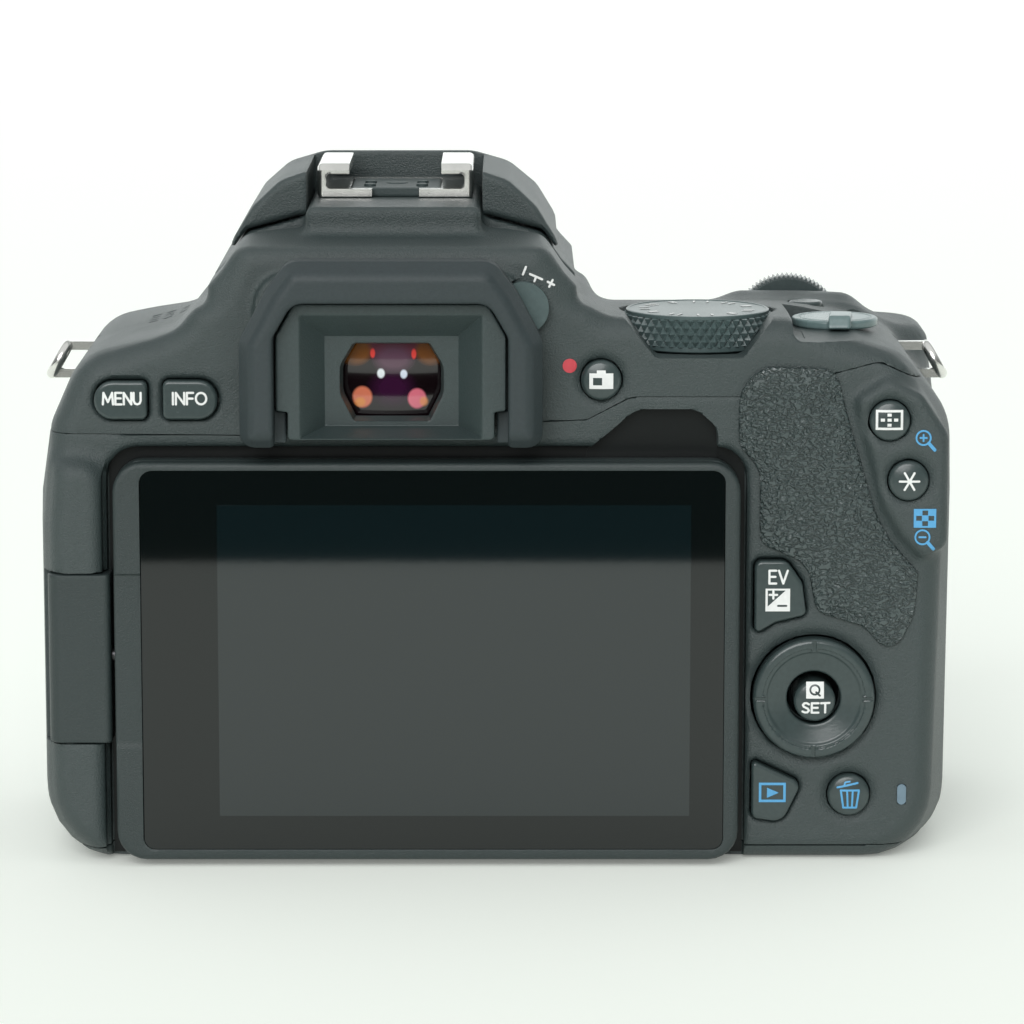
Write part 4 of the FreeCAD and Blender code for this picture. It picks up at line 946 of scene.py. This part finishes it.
def make_legends():
    white, blue, red = WHITE_INK, BLUE_INK, RED_INK

    def on_button(node, name, flat, box, look):
        crown = round_mm(node, 0, 2) if node in ROUND_BUTTONS + ("set_button",) else None
        legend(name, flat, box, box_mm(node)[0][1], look, BODY_OF[node], SLOT_OF[node], crown=crown)

    words = [
        ("menu", "MENU", (-38.7, 62.5, 1.85, 5.35), (-39, -33, 62.2, 64.7)),
        ("info", "INFO", (-29.35, 62.5, 1.85, 4.75), (-29.7, -24.2, 62.2, 64.7)),
        ("set", "SET", (55.0, 20.65, 1.62, 3.9), (54.6, 59.3, 20.3, 22.6)),
    ]
    for button, letters, place, box in words:
        on_button(button + "_button", button + "_word", word(letters, *place, 0.3), box, white)

    letter_q = without(patch(55.6, 58.0, 22.75, 25.0), ring_line(56.78, 23.92, 0.62, 0.26))
    letter_q = without(letter_q, stroke([(56.95, 23.6), (57.45, 23.15)], 0.26))
    on_button("set_button", "set_sign", letter_q, (55.3, 58.3, 22.5, 25.2), white)

    letters_ev = word("EV", 50.4, 38.2, 2.05, 2.75, 0.3)
    on_button("exposure_button", "exposure_word", letters_ev, (50, 53.6, 37.9, 40.5), white)
    plate = without(patch(50.05, 53.35, 34.55, 37.65), shape([(50.35, 35.2), (52.75, 37.4), (50.35, 37.4)]))
    plate = without(plate, stroke([(51.75, 35.3), (52.85, 35.3)], 0.28))
    plus = drawn(stroke([(50.6, 36.8), (51.6, 36.8)], 0.3), stroke([(51.1, 36.3), (51.1, 37.3)], 0.3))
    on_button("exposure_button", "exposure_sign", drawn(plate, plus), (49.8, 53.6, 34.3, 37.9), white)

    frame_sign = without(patch(64.45, 68.1, 59.35, 62.05), patch(64.78, 67.77, 59.68, 61.72))
    points = ((0, 0), (0, 0.68), (0, -0.68), (-0.88, 0), (0.88, 0))
    cells = [cell(66.27 + u, 60.7 + v, 0.28, 0.2) for u, v in points]
    on_button("af_point_button", "af_point_sign", drawn(frame_sign, *cells), (64.2, 68.4, 59.1, 62.3), white)

    arms = []
    for angle in (0, math.pi / 3, 2 * math.pi / 3):
        u, v = 1.3 * math.cos(angle), 1.3 * math.sin(angle)
        arms.append(stroke([(69.07 - u, 52.4 - v), (69.07 + u, 52.4 + v)], 0.3))
    on_button("ae_lock_button", "ae_lock_sign", drawn(*arms), (67.3, 70.8, 50.7, 54.1), white)

    live = drawn(patch(26.3, 29.5, 64.7, 66.8), patch(27.3, 28.5, 66.7, 67.2))
    live = without(live, patch(26.8, 28.0, 65.2, 66.2))
    on_button("live_view_button", "live_view_sign", live, (25.9, 30, 64.6, 67.6), white)

    screen_sign = without(patch(49.4, 53.05, 8.25, 10.95), patch(49.75, 52.7, 8.6, 10.6))
    screen_sign = drawn(screen_sign, shape([(50.5, 8.85), (52.1, 9.55), (50.5, 10.25)]))
    on_button("playback_button", "playback_sign", screen_sign, (49.1, 53.3, 8.0, 11.2), blue)

    can = drawn(
        stroke([(60.5, 9.85), (60.85, 7.45), (62.6, 7.45), (62.95, 9.85), (60.5, 9.85)], 0.27),
        stroke([(61.35, 9.7), (61.45, 7.5)], 0.26),
        stroke([(62.1, 9.7), (62.02, 7.5)], 0.26),
        stroke([(60.05, 10.25), (62.75, 10.85)], 0.27),
        stroke([(60.95, 10.5), (61.1, 10.95), (61.7, 11.05)], 0.22),
    )
    on_button("erase_button", "erase_sign", can, (59.7, 63.2, 7.1, 11.4), blue)

    def on_cover(name, flat, box, face, look):
        legend(name, flat, box, face, look, "root", SLOT_OF["top_cover"], follow=True)

    on_cover("magnify_sign", magnifier(70.9, 58.2, False), (69.6, 73.0, 56.0, 59.6), -30.62, blue)
    on_cover("reduce_sign", magnifier(70.95, 44.75, True), (69.6, 73.1, 42.6, 46.1), -30.6, blue)
    checks = patch(69.75, 72.75, 46.05, 48.6)
    for u, v in ((0, 0.72), (-0.82, 0), (0.82, 0), (0, -0.72)):
        checks = without(checks, cell(71.28 + u, 47.33 + v, 0.38, 0.33))
    on_cover("index_sign", checks, (69.5, 73.0, 45.8, 48.9), -30.62, blue)
    on_cover("card_dot", spot(23.7, 67.7, 0.95), (22.5, 24.9, 66.5, 68.9), REAR - 0.02, red)
    marks = [
        ((17.45, 79.95), (17.85, 80.95)), ((18.4, 80.0), (20.0, 79.3)), ((19.2, 79.65), (18.98, 79.05)),
        ((20.75, 78.95), (21.6, 78.5)), ((20.95, 78.3), (21.4, 79.15)),
    ]
    ticks = drawn(*[stroke(line, 0.3) for line in marks])
    on_cover("diopter_marks", ticks, (17, 22.2, 77.8, 81.4), REAR - 0.02, white)


make_legends()

# ---------------------------------------------------------------- display, hinge arm and rubbers

SCREEN_PANEL = outline(rectangle(-37.3, 46.5, 0.75, 55.1, 4))
SCREEN_WINDOW = outline(rectangle(-33.68, 44.48, 2.22, 54.0, 1.6))


def screen_bezel(x, y, z):
    """The display's frame: a rounded rim, and a shallow step in its left band beside the arm."""
    frame_body = prism(SCREEN_PANEL, x, z, y, -32.5, -30.22, 0.65)
    depth = np.interp(z, [9.0, 16.2, 16.9, 39.8, 40.1, 47.0], [0.0, 0.28, 0.42, 0.42, 0.0, 0.0])
    left_band = np.where(x < -33.4, -32.5 + depth - y, -1.0)
    frame_body = overlap(frame_body, left_band, 0.12)
    return carve(frame_body, prism(SCREEN_WINDOW, x, z, y, -40.0, -20.0), 0.15)


def screen_shell(x, y, z):
    return prism(SCREEN_PANEL, x, z, y, -30.15, -26.9, 0.8)


ARM_SECTION = outline(
    [(-46.35, -31.7, 2.0), (-37.85, -31.7, 0.9), (-37.85, -26.9, 0.5), (-46.35, -26.9, 2.3)]
)


def hinge_arm(x, y, z):
    arm = prism(ARM_SECTION, x, y, z, 16.72, 39.8, 0.35)
    return join(arm, disc(x, y, z, (-43.5, -29.7), 1.45, 13.6, 42.9, 0.2))


def slab(name, low, high, material, body, slot):
    """A plain box-shaped piece."""
    corners = [(x, y, z) for x in (low[0], high[0]) for y in (low[1], high[1]) for z in (low[2], high[2])]
    sides = [(0, 1, 3, 2), (4, 6, 7, 5), (0, 4, 5, 1), (2, 3, 7, 6), (0, 2, 6, 4), (1, 5, 7, 3)]
    return add_mesh(name, corners, sides, material, body, slot)


ACTIVE_GLASS = new_material("active_glass", (0.0045, 0.010, 0.0115), 0.04, specular=0.85)
grain(ACTIVE_GLASS, 400.0, 0.0000006)
slab("lcd_area", (-23.4, -32.43, 6.9), (39.9, -32.35, 49.4), ACTIVE_GLASS, "screen", "display_panel")

# A black sheet on the floor of the display's recess: painted shade that keeps the gap round the display dark.
PAINTED_SHADE_BLACK = new_material("painted_shade_black", (0.006, 0.008, 0.008), 0.32, specular=0.3)
grain(PAINTED_SHADE_BLACK, 2500.0, 0.00001)
slab("recess_floor", (-38.2, -26.4, 0.5), (47.3, -26.28, 56.5), PAINTED_SHADE_BLACK, "root", "inner_plastic")


# A black sheet laid on the floor of the finger recess: painted shade for the recess.
def finger_recess_painted_shade(x, y, z):
    return thick(flat_distance(FINGER_RECESS, x, z) + 0.05, y, -26.75, -26.55)


finger_shade_mesh = surface(finger_recess_painted_shade, (25.5, -27.0, 49.8), (43.8, -26.3, 62.2), 0.2)
add_mesh("finger_recess_painted_shade", *finger_shade_mesh, PAINTED_SHADE_BLACK, "root", "inner_plastic")
# The display's frame, shell and arm take the darker plastic as painted shade.
form("screen_bezel", screen_bezel, 0.3, LOOKS["screen_plastic"], smooth_angle=30)
form("screen_back_shell", screen_shell, 0.5, LOOKS["screen_plastic"])
form("screen_hinge_arm", hinge_arm, 0.25, LOOKS["screen_plastic"])

THUMB_RUBBER = outline([
    (46.2, 66.0, 5.5), (50.5, 67.8, 4), (59.4, 67.4, 3), (60.8, 61.6, 8), (64.8, 48.0, 10),
    (66.9, 44.1, 6), (70.7, 39.8, 1.2), (70.3, 34.0, 8), (67.2, 27.6, 2.2), (63.4, 32.2, 5),
    (56.8, 34.2, 2.4), (55.6, 40.8, 4), (49.1, 43.6, 2.2), (49.1, 53.6, 4), (46.2, 57.0, 3),
])


def thumb_rubber(x, y, z):
    flat = flat_distance(THUMB_RUBBER, x, z) + 0.12
    swell = 0.35 * np.clip(-flat / 3.0, 0, 1) ** 0.6
    return thick(flat, y + swell, -29.55, -28.6, 0.3)


form("thumb_rubber", thumb_rubber, 0.25, LOOKS["grip_rubber"], (45.5, -30.1, 27), (71.5, -28.6, 68.3))


def grip_rubber(x, y, z):
    skin = thick(flat_distance(GRIP, x, y) - 0.9, z, 6.0, 52.0, 0.4)
    bare = np.minimum(flat_distance(GRIP, x, y), disc(x, z, y, MOUNT_CENTRE, 37.5, 5, 45))
    return carve(np.maximum(skin, 17.05 - y), bare, 0.1)


form("grip_rubber", grip_rubber, 0.4, LOOKS["grip_rubber"])

# ---------------------------------------------------------------- eyecup and eyepiece

CUP_OUTER = outline(mirrored([(20.05, 57.6, 2.0), (20.05, 71.8, 3), (16.5, 78.5, 4), (13.6, 82.4, 3)]))
CUP_INNER = outline(mirrored([(15.5, 50.0, 0), (15.5, 72.5, 2), (12.9, 77.0, 2.5)]))
FRAME_FLANGE = outline(
    mirrored([(13.7, 58.6, 0.6), (13.7, 62.3, 0.3), (15.2, 62.5, 0.3), (15.2, 72.4, 1.5), (12.8, 76.7, 1.5)])
)
FRAME_FOOT = outline(mirrored([(13.6, 58.6, 0.6), (13.6, 71.6, 1.5), (12.0, 76.2, 1.5)]))
VIEW_WINDOW = outline([
    (-5.1, 60.5, 0.6), (5.1, 60.5, 0.6), (6.95, 64.2, 3), (6.95, 68.0, 3), (5.1, 71.1, 0.8),
    (-5.1, 71.1, 0.8), (-6.95, 68.0, 3), (-6.95, 64.2, 3),
])


LENS_OUTLINE = outline(rectangle(-7.9, 7.9, 60, 72.1, 1))


def eyecup(x, y, z):
    """A soft horseshoe with a wide bevel toward its outer edge."""
    bevel = np.maximum(-35.2 - y, 0) * 0.62
    cup = thick(flat_distance(CUP_OUTER, x, z) + bevel, y, -37.8, -31.0, 0.9)
    hollow = flat_distance(CUP_INNER, x, z)
    cup = carve(cup, thick(hollow, y, -50.0, -20.0), 0.7)
    tongue = block(np.abs(x), y, z, (14.0, -33.0, 57.9), (16.0, -31.1, 62.2), 0.25)
    return join(cup, tongue, 0.15)


def funnel(x, y, z):
    """A hollow whose four sides slope in from the flange to the step around the window."""
    t = np.clip((y + 35.2) / 4.2, -0.5, 1)
    side = np.abs(x) - (12.1 - 3.2 * t)
    top = z - (75.3 - 3.35 * t)
    low = (58.75 + 1.15 * t) - z
    return np.maximum(np.maximum(np.maximum(side, top), low) * 0.8, y + 31.0)


def eyepiece(x, y, z):
    body = prism(FRAME_FLANGE, x, z, y, -35.2, -33.25, 0.25)
    body = join(body, prism(FRAME_FOOT, x, z, y, -33.6, -31.0))
    body = join(body, thick(flat_distance(EYEPIECE_HOLE, x, z) + 0.12, y, -32.0, -23.1))
    body = carve(body, funnel(x, y, z), 0.15)
    window = flat_distance(VIEW_WINDOW, x, z) + 0.18 * np.clip(y + 31.2, 0, 2.4)
    body = carve(body, thick(window, y, -40.0, -20.0), 0.12)
    return carve(body, block(x, y, z, (-8.0, -28.6, 59.9), (8.0, -20.0, 72.2)))


def eyepiece_lens(x, y, z):
    depth = y + dished(x, z, (0, 66), 8.5, 0.9) - 0.9
    return prism(LENS_OUTLINE, x, z, depth, -28.55, -26.9, 0.2)


form("eyecup", eyecup, 0.25, LOOKS["eyecup_rubber"], smooth_angle=50)
form("eyepiece_frame", eyepiece, 0.2, LOOKS["inner_plastic"], smooth_angle=30)

# Reflections and highlights painted into the eyepiece glass's colour: centre, half width and height, colour,
# strength, softness.
PAINTED_REFLECTION_SPOTS = [
    ((0.0, 70.2), (7.5, 2.0), (0.10, 0.020, 0.035), 1.0, 0.5),
    ((-5.0, 69.6), (2.6, 2.2), (0.16, 0.055, 0.008), 1.0, 0.35),
    ((5.2, 69.6), (2.4, 2.2), (0.15, 0.050, 0.008), 1.0, 0.35),
    ((0.2, 68.6), (3.2, 2.3), (0.10, 0.045, 0.075), 1.0, 0.5),
    ((0.0, 64.6), (3.6, 3.0), (0.035, 0.006, 0.03), 1.0, 0.6),
    ((-2.6, 69.3), (0.40, 0.75), (0.75, 0.06, 0.05), 1.0, 0.4),
    ((2.9, 69.2), (0.40, 0.8), (0.75, 0.06, 0.05), 1.0, 0.4),
    ((-4.0, 63.4), (1.45, 1.6), (0.65, 0.18, 0.10), 1.0, 0.22),
    ((-4.3, 62.7), (0.9, 0.8), (0.75, 0.30, 0.06), 0.8, 0.5),
    ((3.3, 63.2), (1.35, 1.5), (0.70, 0.16, 0.22), 1.0, 0.22),
    ((4.2, 62.8), (0.7, 0.8), (0.75, 0.28, 0.08), 0.8, 0.5),
    ((-1.5, 66.6), (0.60, 0.75), (0.80, 0.85, 0.88), 1.0, 0.35),
    ((1.55, 66.5), (0.55, 0.70), (0.70, 0.75, 0.88), 1.0, 0.35),
]


def painted_reflection_glass():
    """Nearly black glass with soft painted reflections and highlights laid over it one after another."""
    material = new_material("painted_reflection_glass", (0.01, 0.01, 0.01), 0.08, coat=0.5)
    tree = material.node_tree
    place = own_place(tree)
    under = add_node(tree, "ShaderNodeRGB")
    under.outputs[0].default_value = (0.006, 0.003, 0.004, 1)
    colour = under.outputs[0]
    # Each spot mixes a painted reflection or highlight into the base colour.
    for (x, z), (wide, high), paint, strength, soft in PAINTED_REFLECTION_SPOTS:
        shift = add_node(tree, "ShaderNodeVectorMath", "SUBTRACT", Vector=place)
        shift.inputs[1].default_value = (x * MM, 0, z * MM)
        scale = add_node(tree, "ShaderNodeVectorMath", "MULTIPLY", Vector=shift.outputs["Vector"])
        scale.inputs[1].default_value = (1 / (wide * MM), 0, 1 / (high * MM))
        reach = add_node(tree, "ShaderNodeVectorMath", "LENGTH", Vector=scale.outputs["Vector"])
        fade = add_node(
            tree, "ShaderNodeMapRange", Value=reach.outputs["Value"],
            From_Min=1.0, From_Max=1.0 - soft, To_Max=strength,
        )
        over = add_node(
            tree, "ShaderNodeMixRGB", Fac=fade.outputs["Result"], Color1=colour, Color2=(*paint, 1),
        )
        colour = over.outputs["Color"]
    set_shader(material, Base_Color=colour)
    return material


form("eyepiece_lens", eyepiece_lens, 0.3, painted_reflection_glass())

# ---------------------------------------------------------------- accessory shoe and flash

SHOE_PROFILE = outline(
    [(-8.0, 88.05, 0.3), (10.0, 88.05, 0.3), (10.0, 92.7, 0.3), (-7.2, 92.7, 0.6), (-8.0, 91.9, 0.3)]
)
SHOE_SLOT = outline(rectangle(-9.5, 9.5, 89.3, 91.3, 0.6))


def shoe_rails(x, y, z):
    """The bent metal channel: two side walls, two lips, and two pads at the rear of its floor."""
    rails = prism(SHOE_PROFILE, y, z, x, -10.7, 10.7, 0.7)
    rails = carve(rails, prism(SHOE_SLOT, x, z, y, -20.0, 20.0), 0.1)
    rails = carve(rails, block(x, y, z, (-6.3, -20.0, 89.3), (6.3, 20.0, 99.0)), 0.1)
    rails = carve(rails, block(x, y, z, (-6.2, -6.0, 80.0), (6.2, 8.0, 99.0)), 0.05)
    return carve(rails, block(x, y, z, (-3.2, -20.0, 80.0), (3.2, -5.0, 99.0)), 0.1)


def shoe_base(x, y, z):
    base = block(x, y, z, (-6.15, -5.95, 88.03), (6.15, 7.95, 89.25), 0.2)
    base = join(base, disc(x, y, z, (0.0, 1.0), 1.5, 88.2, 89.4, 0.1))
    for u, v in ((-3.6, -3.4), (3.6, -3.4), (-3.6, 1.0), (3.6, 1.0)):
        base = join(base, disc(x, y, z, (u, v), 0.8, 88.2, 89.6, 0.1))
    return base


form("hot_shoe_rails", shoe_rails, 0.2, LOOKS["bright_metal"], smooth_angle=30)
form("hot_shoe_base", shoe_base, 0.2, LOOKS["inner_plastic"], smooth_angle=30)

FLASH_OUTER = outline(
    mirrored([
        (12.9, 86.15, 0), (20.2, 84.2, 1.5), (23.2, 80.0, 0.3), (21.9, 83.2, 3), (19.4, 87.3, 4),
        (15.6, 90.9, 5), (10.5, 92.6, 6),
    ])
)


FLASH_SLOPE = math.radians(35)


def flash_head(x, y, z):
    head = prism(FLASH_OUTER, x, z, y, -13.0, 24.0, 0.9)
    head = carve(head, block(x, y, z, (-11.95, -30.0, 70.0), (11.95, 13.2, 120.0), 0.3), 0.4)
    slope = (z - 92.4) * math.cos(FLASH_SLOPE) + (y - 18.5) * math.sin(FLASH_SLOPE)
    head = overlap(head, slope, 2.5)
    return carve(head, block(x, y, z, (-13.2, 21.5, 86.7), (13.2, 40.0, 89.0)))


form("flash_head", flash_head, 0.35, LOOKS["body_plastic"])

# ---------------------------------------------------------------- dials


def turned(name, profile, turns, relief, look, body, slot, place, axis="z", smooth_angle=35):
    """A dial from a profile of (radius, height, relief weight), with a pattern pressed into its side."""
    ring = 2 * math.pi * np.arange(turns) / turns
    vertices, faces = [], []
    for radius, height, weight in profile:
        r = radius - weight * relief(ring, height)
        u, v, w = r * np.cos(ring), r * np.sin(ring), np.full(turns, height)
        points = np.stack([u, v, w] if axis == "z" else [u, w, -v], 1)
        vertices.append(points + np.array(place))
    for i in range(len(profile) - 1):
        for j in range(turns):
            k = (j + 1) % turns
            faces.append((i * turns + j, i * turns + k, (i + 1) * turns + k, (i + 1) * turns + j))
    last = (len(profile) - 1) * turns
    faces.append(tuple(range(turns))[::-1])
    faces.append(tuple(last + j for j in range(turns)))
    return add_mesh(name, np.concatenate(vertices), faces, look, body, slot, smooth_angle)


def wave(value):
    """A triangle wave from 0 to 1."""
    return 1 - np.abs((value % 1.0) * 2 - 1)


DIAMONDS = 46
DIAMOND_ROW = 1.86


def diamond_relief(angle, height):
    """Two crossing sets of grooves that leave four-sided points between them."""
    around = angle * DIAMONDS / (2 * math.pi)
    up = height / DIAMOND_ROW
    return 1 - np.minimum(wave(around + up), wave(around - up))


RIBS = 72


def ribs(angle, height):
    return wave(angle * RIBS / (2 * math.pi))


def no_relief(angle, height):
    return 0 * angle


DIAL_FLOOR, DIAL_TOP = 68.6, 73.6
KNURL_ROWS = 30


def dial_marks(x, y, z):
    """Generic marks printed round the mode dial's flat top."""
    across, along = x - DIAL_CENTRE[0], y - DIAL_CENTRE[1]
    best = np.full(np.broadcast(across, along).shape, 9.0)
    for i in range(11):
        u, v = turned_by(math.radians(20 + 32 * i), across, along)
        tall, wide = 0.75, 0.25 + 0.35 * (i % 3)
        best = np.minimum(best, np.maximum(np.abs(u - 7.2) - tall, np.abs(np.abs(v) - wide) - 0.17))
    return np.maximum(best, np.abs(z - DIAL_TOP + 0.05) - 0.06)


def dial_label(x, y, z):
    return disc(x, y, z, DIAL_CENTRE, 9.0, DIAL_TOP - 0.3, DIAL_TOP - 0.04)


def make_mode_dial():
    middle = (DIAL_FLOOR + DIAL_TOP) / 2
    low, high = DIAL_FLOOR - middle, DIAL_TOP - middle
    profile = [(9.0, low, 0), (9.4, low, 0), (9.6, low + 0.15, 0), (9.6, low + 0.75, 0)]
    for i in range(KNURL_ROWS + 1):
        profile.append((10.2, low + 0.8 + (high - low - 1.35) * i / KNURL_ROWS, 0.75))
    profile += [(9.75, high - 0.5, 0), (9.75, high - 0.1, 0), (9.6, high, 0)]
    profile += [(9.35, high, 0), (9.3, high - 0.08, 0)]
    look, body, slot = LOOKS["dial_plastic"], "mode_dial", SLOT_OF["mode_dial"]
    place = (*DIAL_CENTRE, middle)
    dial = turned("mode_dial_form", profile, DIAMONDS * 8, diamond_relief, look, body, slot, place, "z", 20)
    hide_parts("mode_dial")
    face = surface(dial_label, (32, -23.3, 73.2), (50.6, -4.7, 73.7), 0.3)
    add_mesh("mode_label", *face, LOOKS["label_black"], body, slot)
    printed = surface(dial_marks, (32.5, -22.8, 73.4), (50.1, -5.2, 73.6), 0.12)
    add_mesh("mode_marks", *printed, WHITE_INK, body, slot)


def make_main_dial():
    half = 2.3
    rim = [(6.6, half, 0), (7.2, half, 0), (7.75, half - 0.5, 0.4), (7.8, half - 0.55, 0.45)]
    profile = [(radius, -height, weight) for radius, height, weight in rim] + rim[::-1]
    stem_profile = [(1.4, -4.7, 0), (1.4, 4.7, 0)]
    body, slot = "main_dial", SLOT_OF["main_dial"]
    look, stem_look = LOOKS["button_plastic"], LOOKS["inner_plastic"]
    wheel = turned("main_dial_form", profile, RIBS * 6, ribs, look, body, slot, WHEEL_CENTRE, "y", 25)
    stem = turned("main_dial_stem", stem_profile, 24, no_relief, stem_look, body, slot, WHEEL_CENTRE, "y")
    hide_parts("main_dial")
    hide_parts("main_dial")


make_mode_dial()
make_main_dial()


def power_switch(x, y, z):
    """A disc in a pocket of the shoulder, its lever toward the rear."""
    u, v, w = x - SWITCH_PLACE[0], y - SWITCH_PLACE[1], z - SWITCH_PLACE[2]
    plate = disc(u, v, w, (0.0, 0.0), 5.9, 0.15, 1.35, 0.35)
    ring = np.maximum(np.abs(np.hypot(u, v) - 4.9) - 0.15, np.abs(w - 1.4) - 0.15)
    plate = carve(plate, ring, 0.1)
    profile = outline([(-8.1, 0.5, 0.3), (-4.0, 0.5, 0), (1.5, 1.2, 0), (-1.5, 2.2, 0.5), (-7.1, 2.3, 0.8)])
    lever = thick(flat_distance(profile, v + 0 * u, w + 0 * u), u - 0.1 * v, -0.6, 2.4, 0.3)
    plate = join(plate, lever, 0.25)
    return join(plate, disc(u, v, w, (0.0, 0.0), 1.4, -7.0, 1.0))


form("power_switch", power_switch, 0.18, LOOKS["satin_grey"])


# The two buttons behind the shutter button end this far below their CAD solids.
LOW_BUTTON_DROP = 1.9


def low_button(node):
    """A button on the top cover that stands little above the ridge round it."""
    low, high = box_mm(node)
    centre, radius = round_mm(node, 0, 1)
    top = high[2] - LOW_BUTTON_DROP
    form(node, lambda x, y, z: disc(x, y, z, centre, radius, low[2], top, 0.4), 0.2, LOOKS["button_plastic"])


low_button("iso_button")
low_button("disp_button")

place_camera()
set_stage()
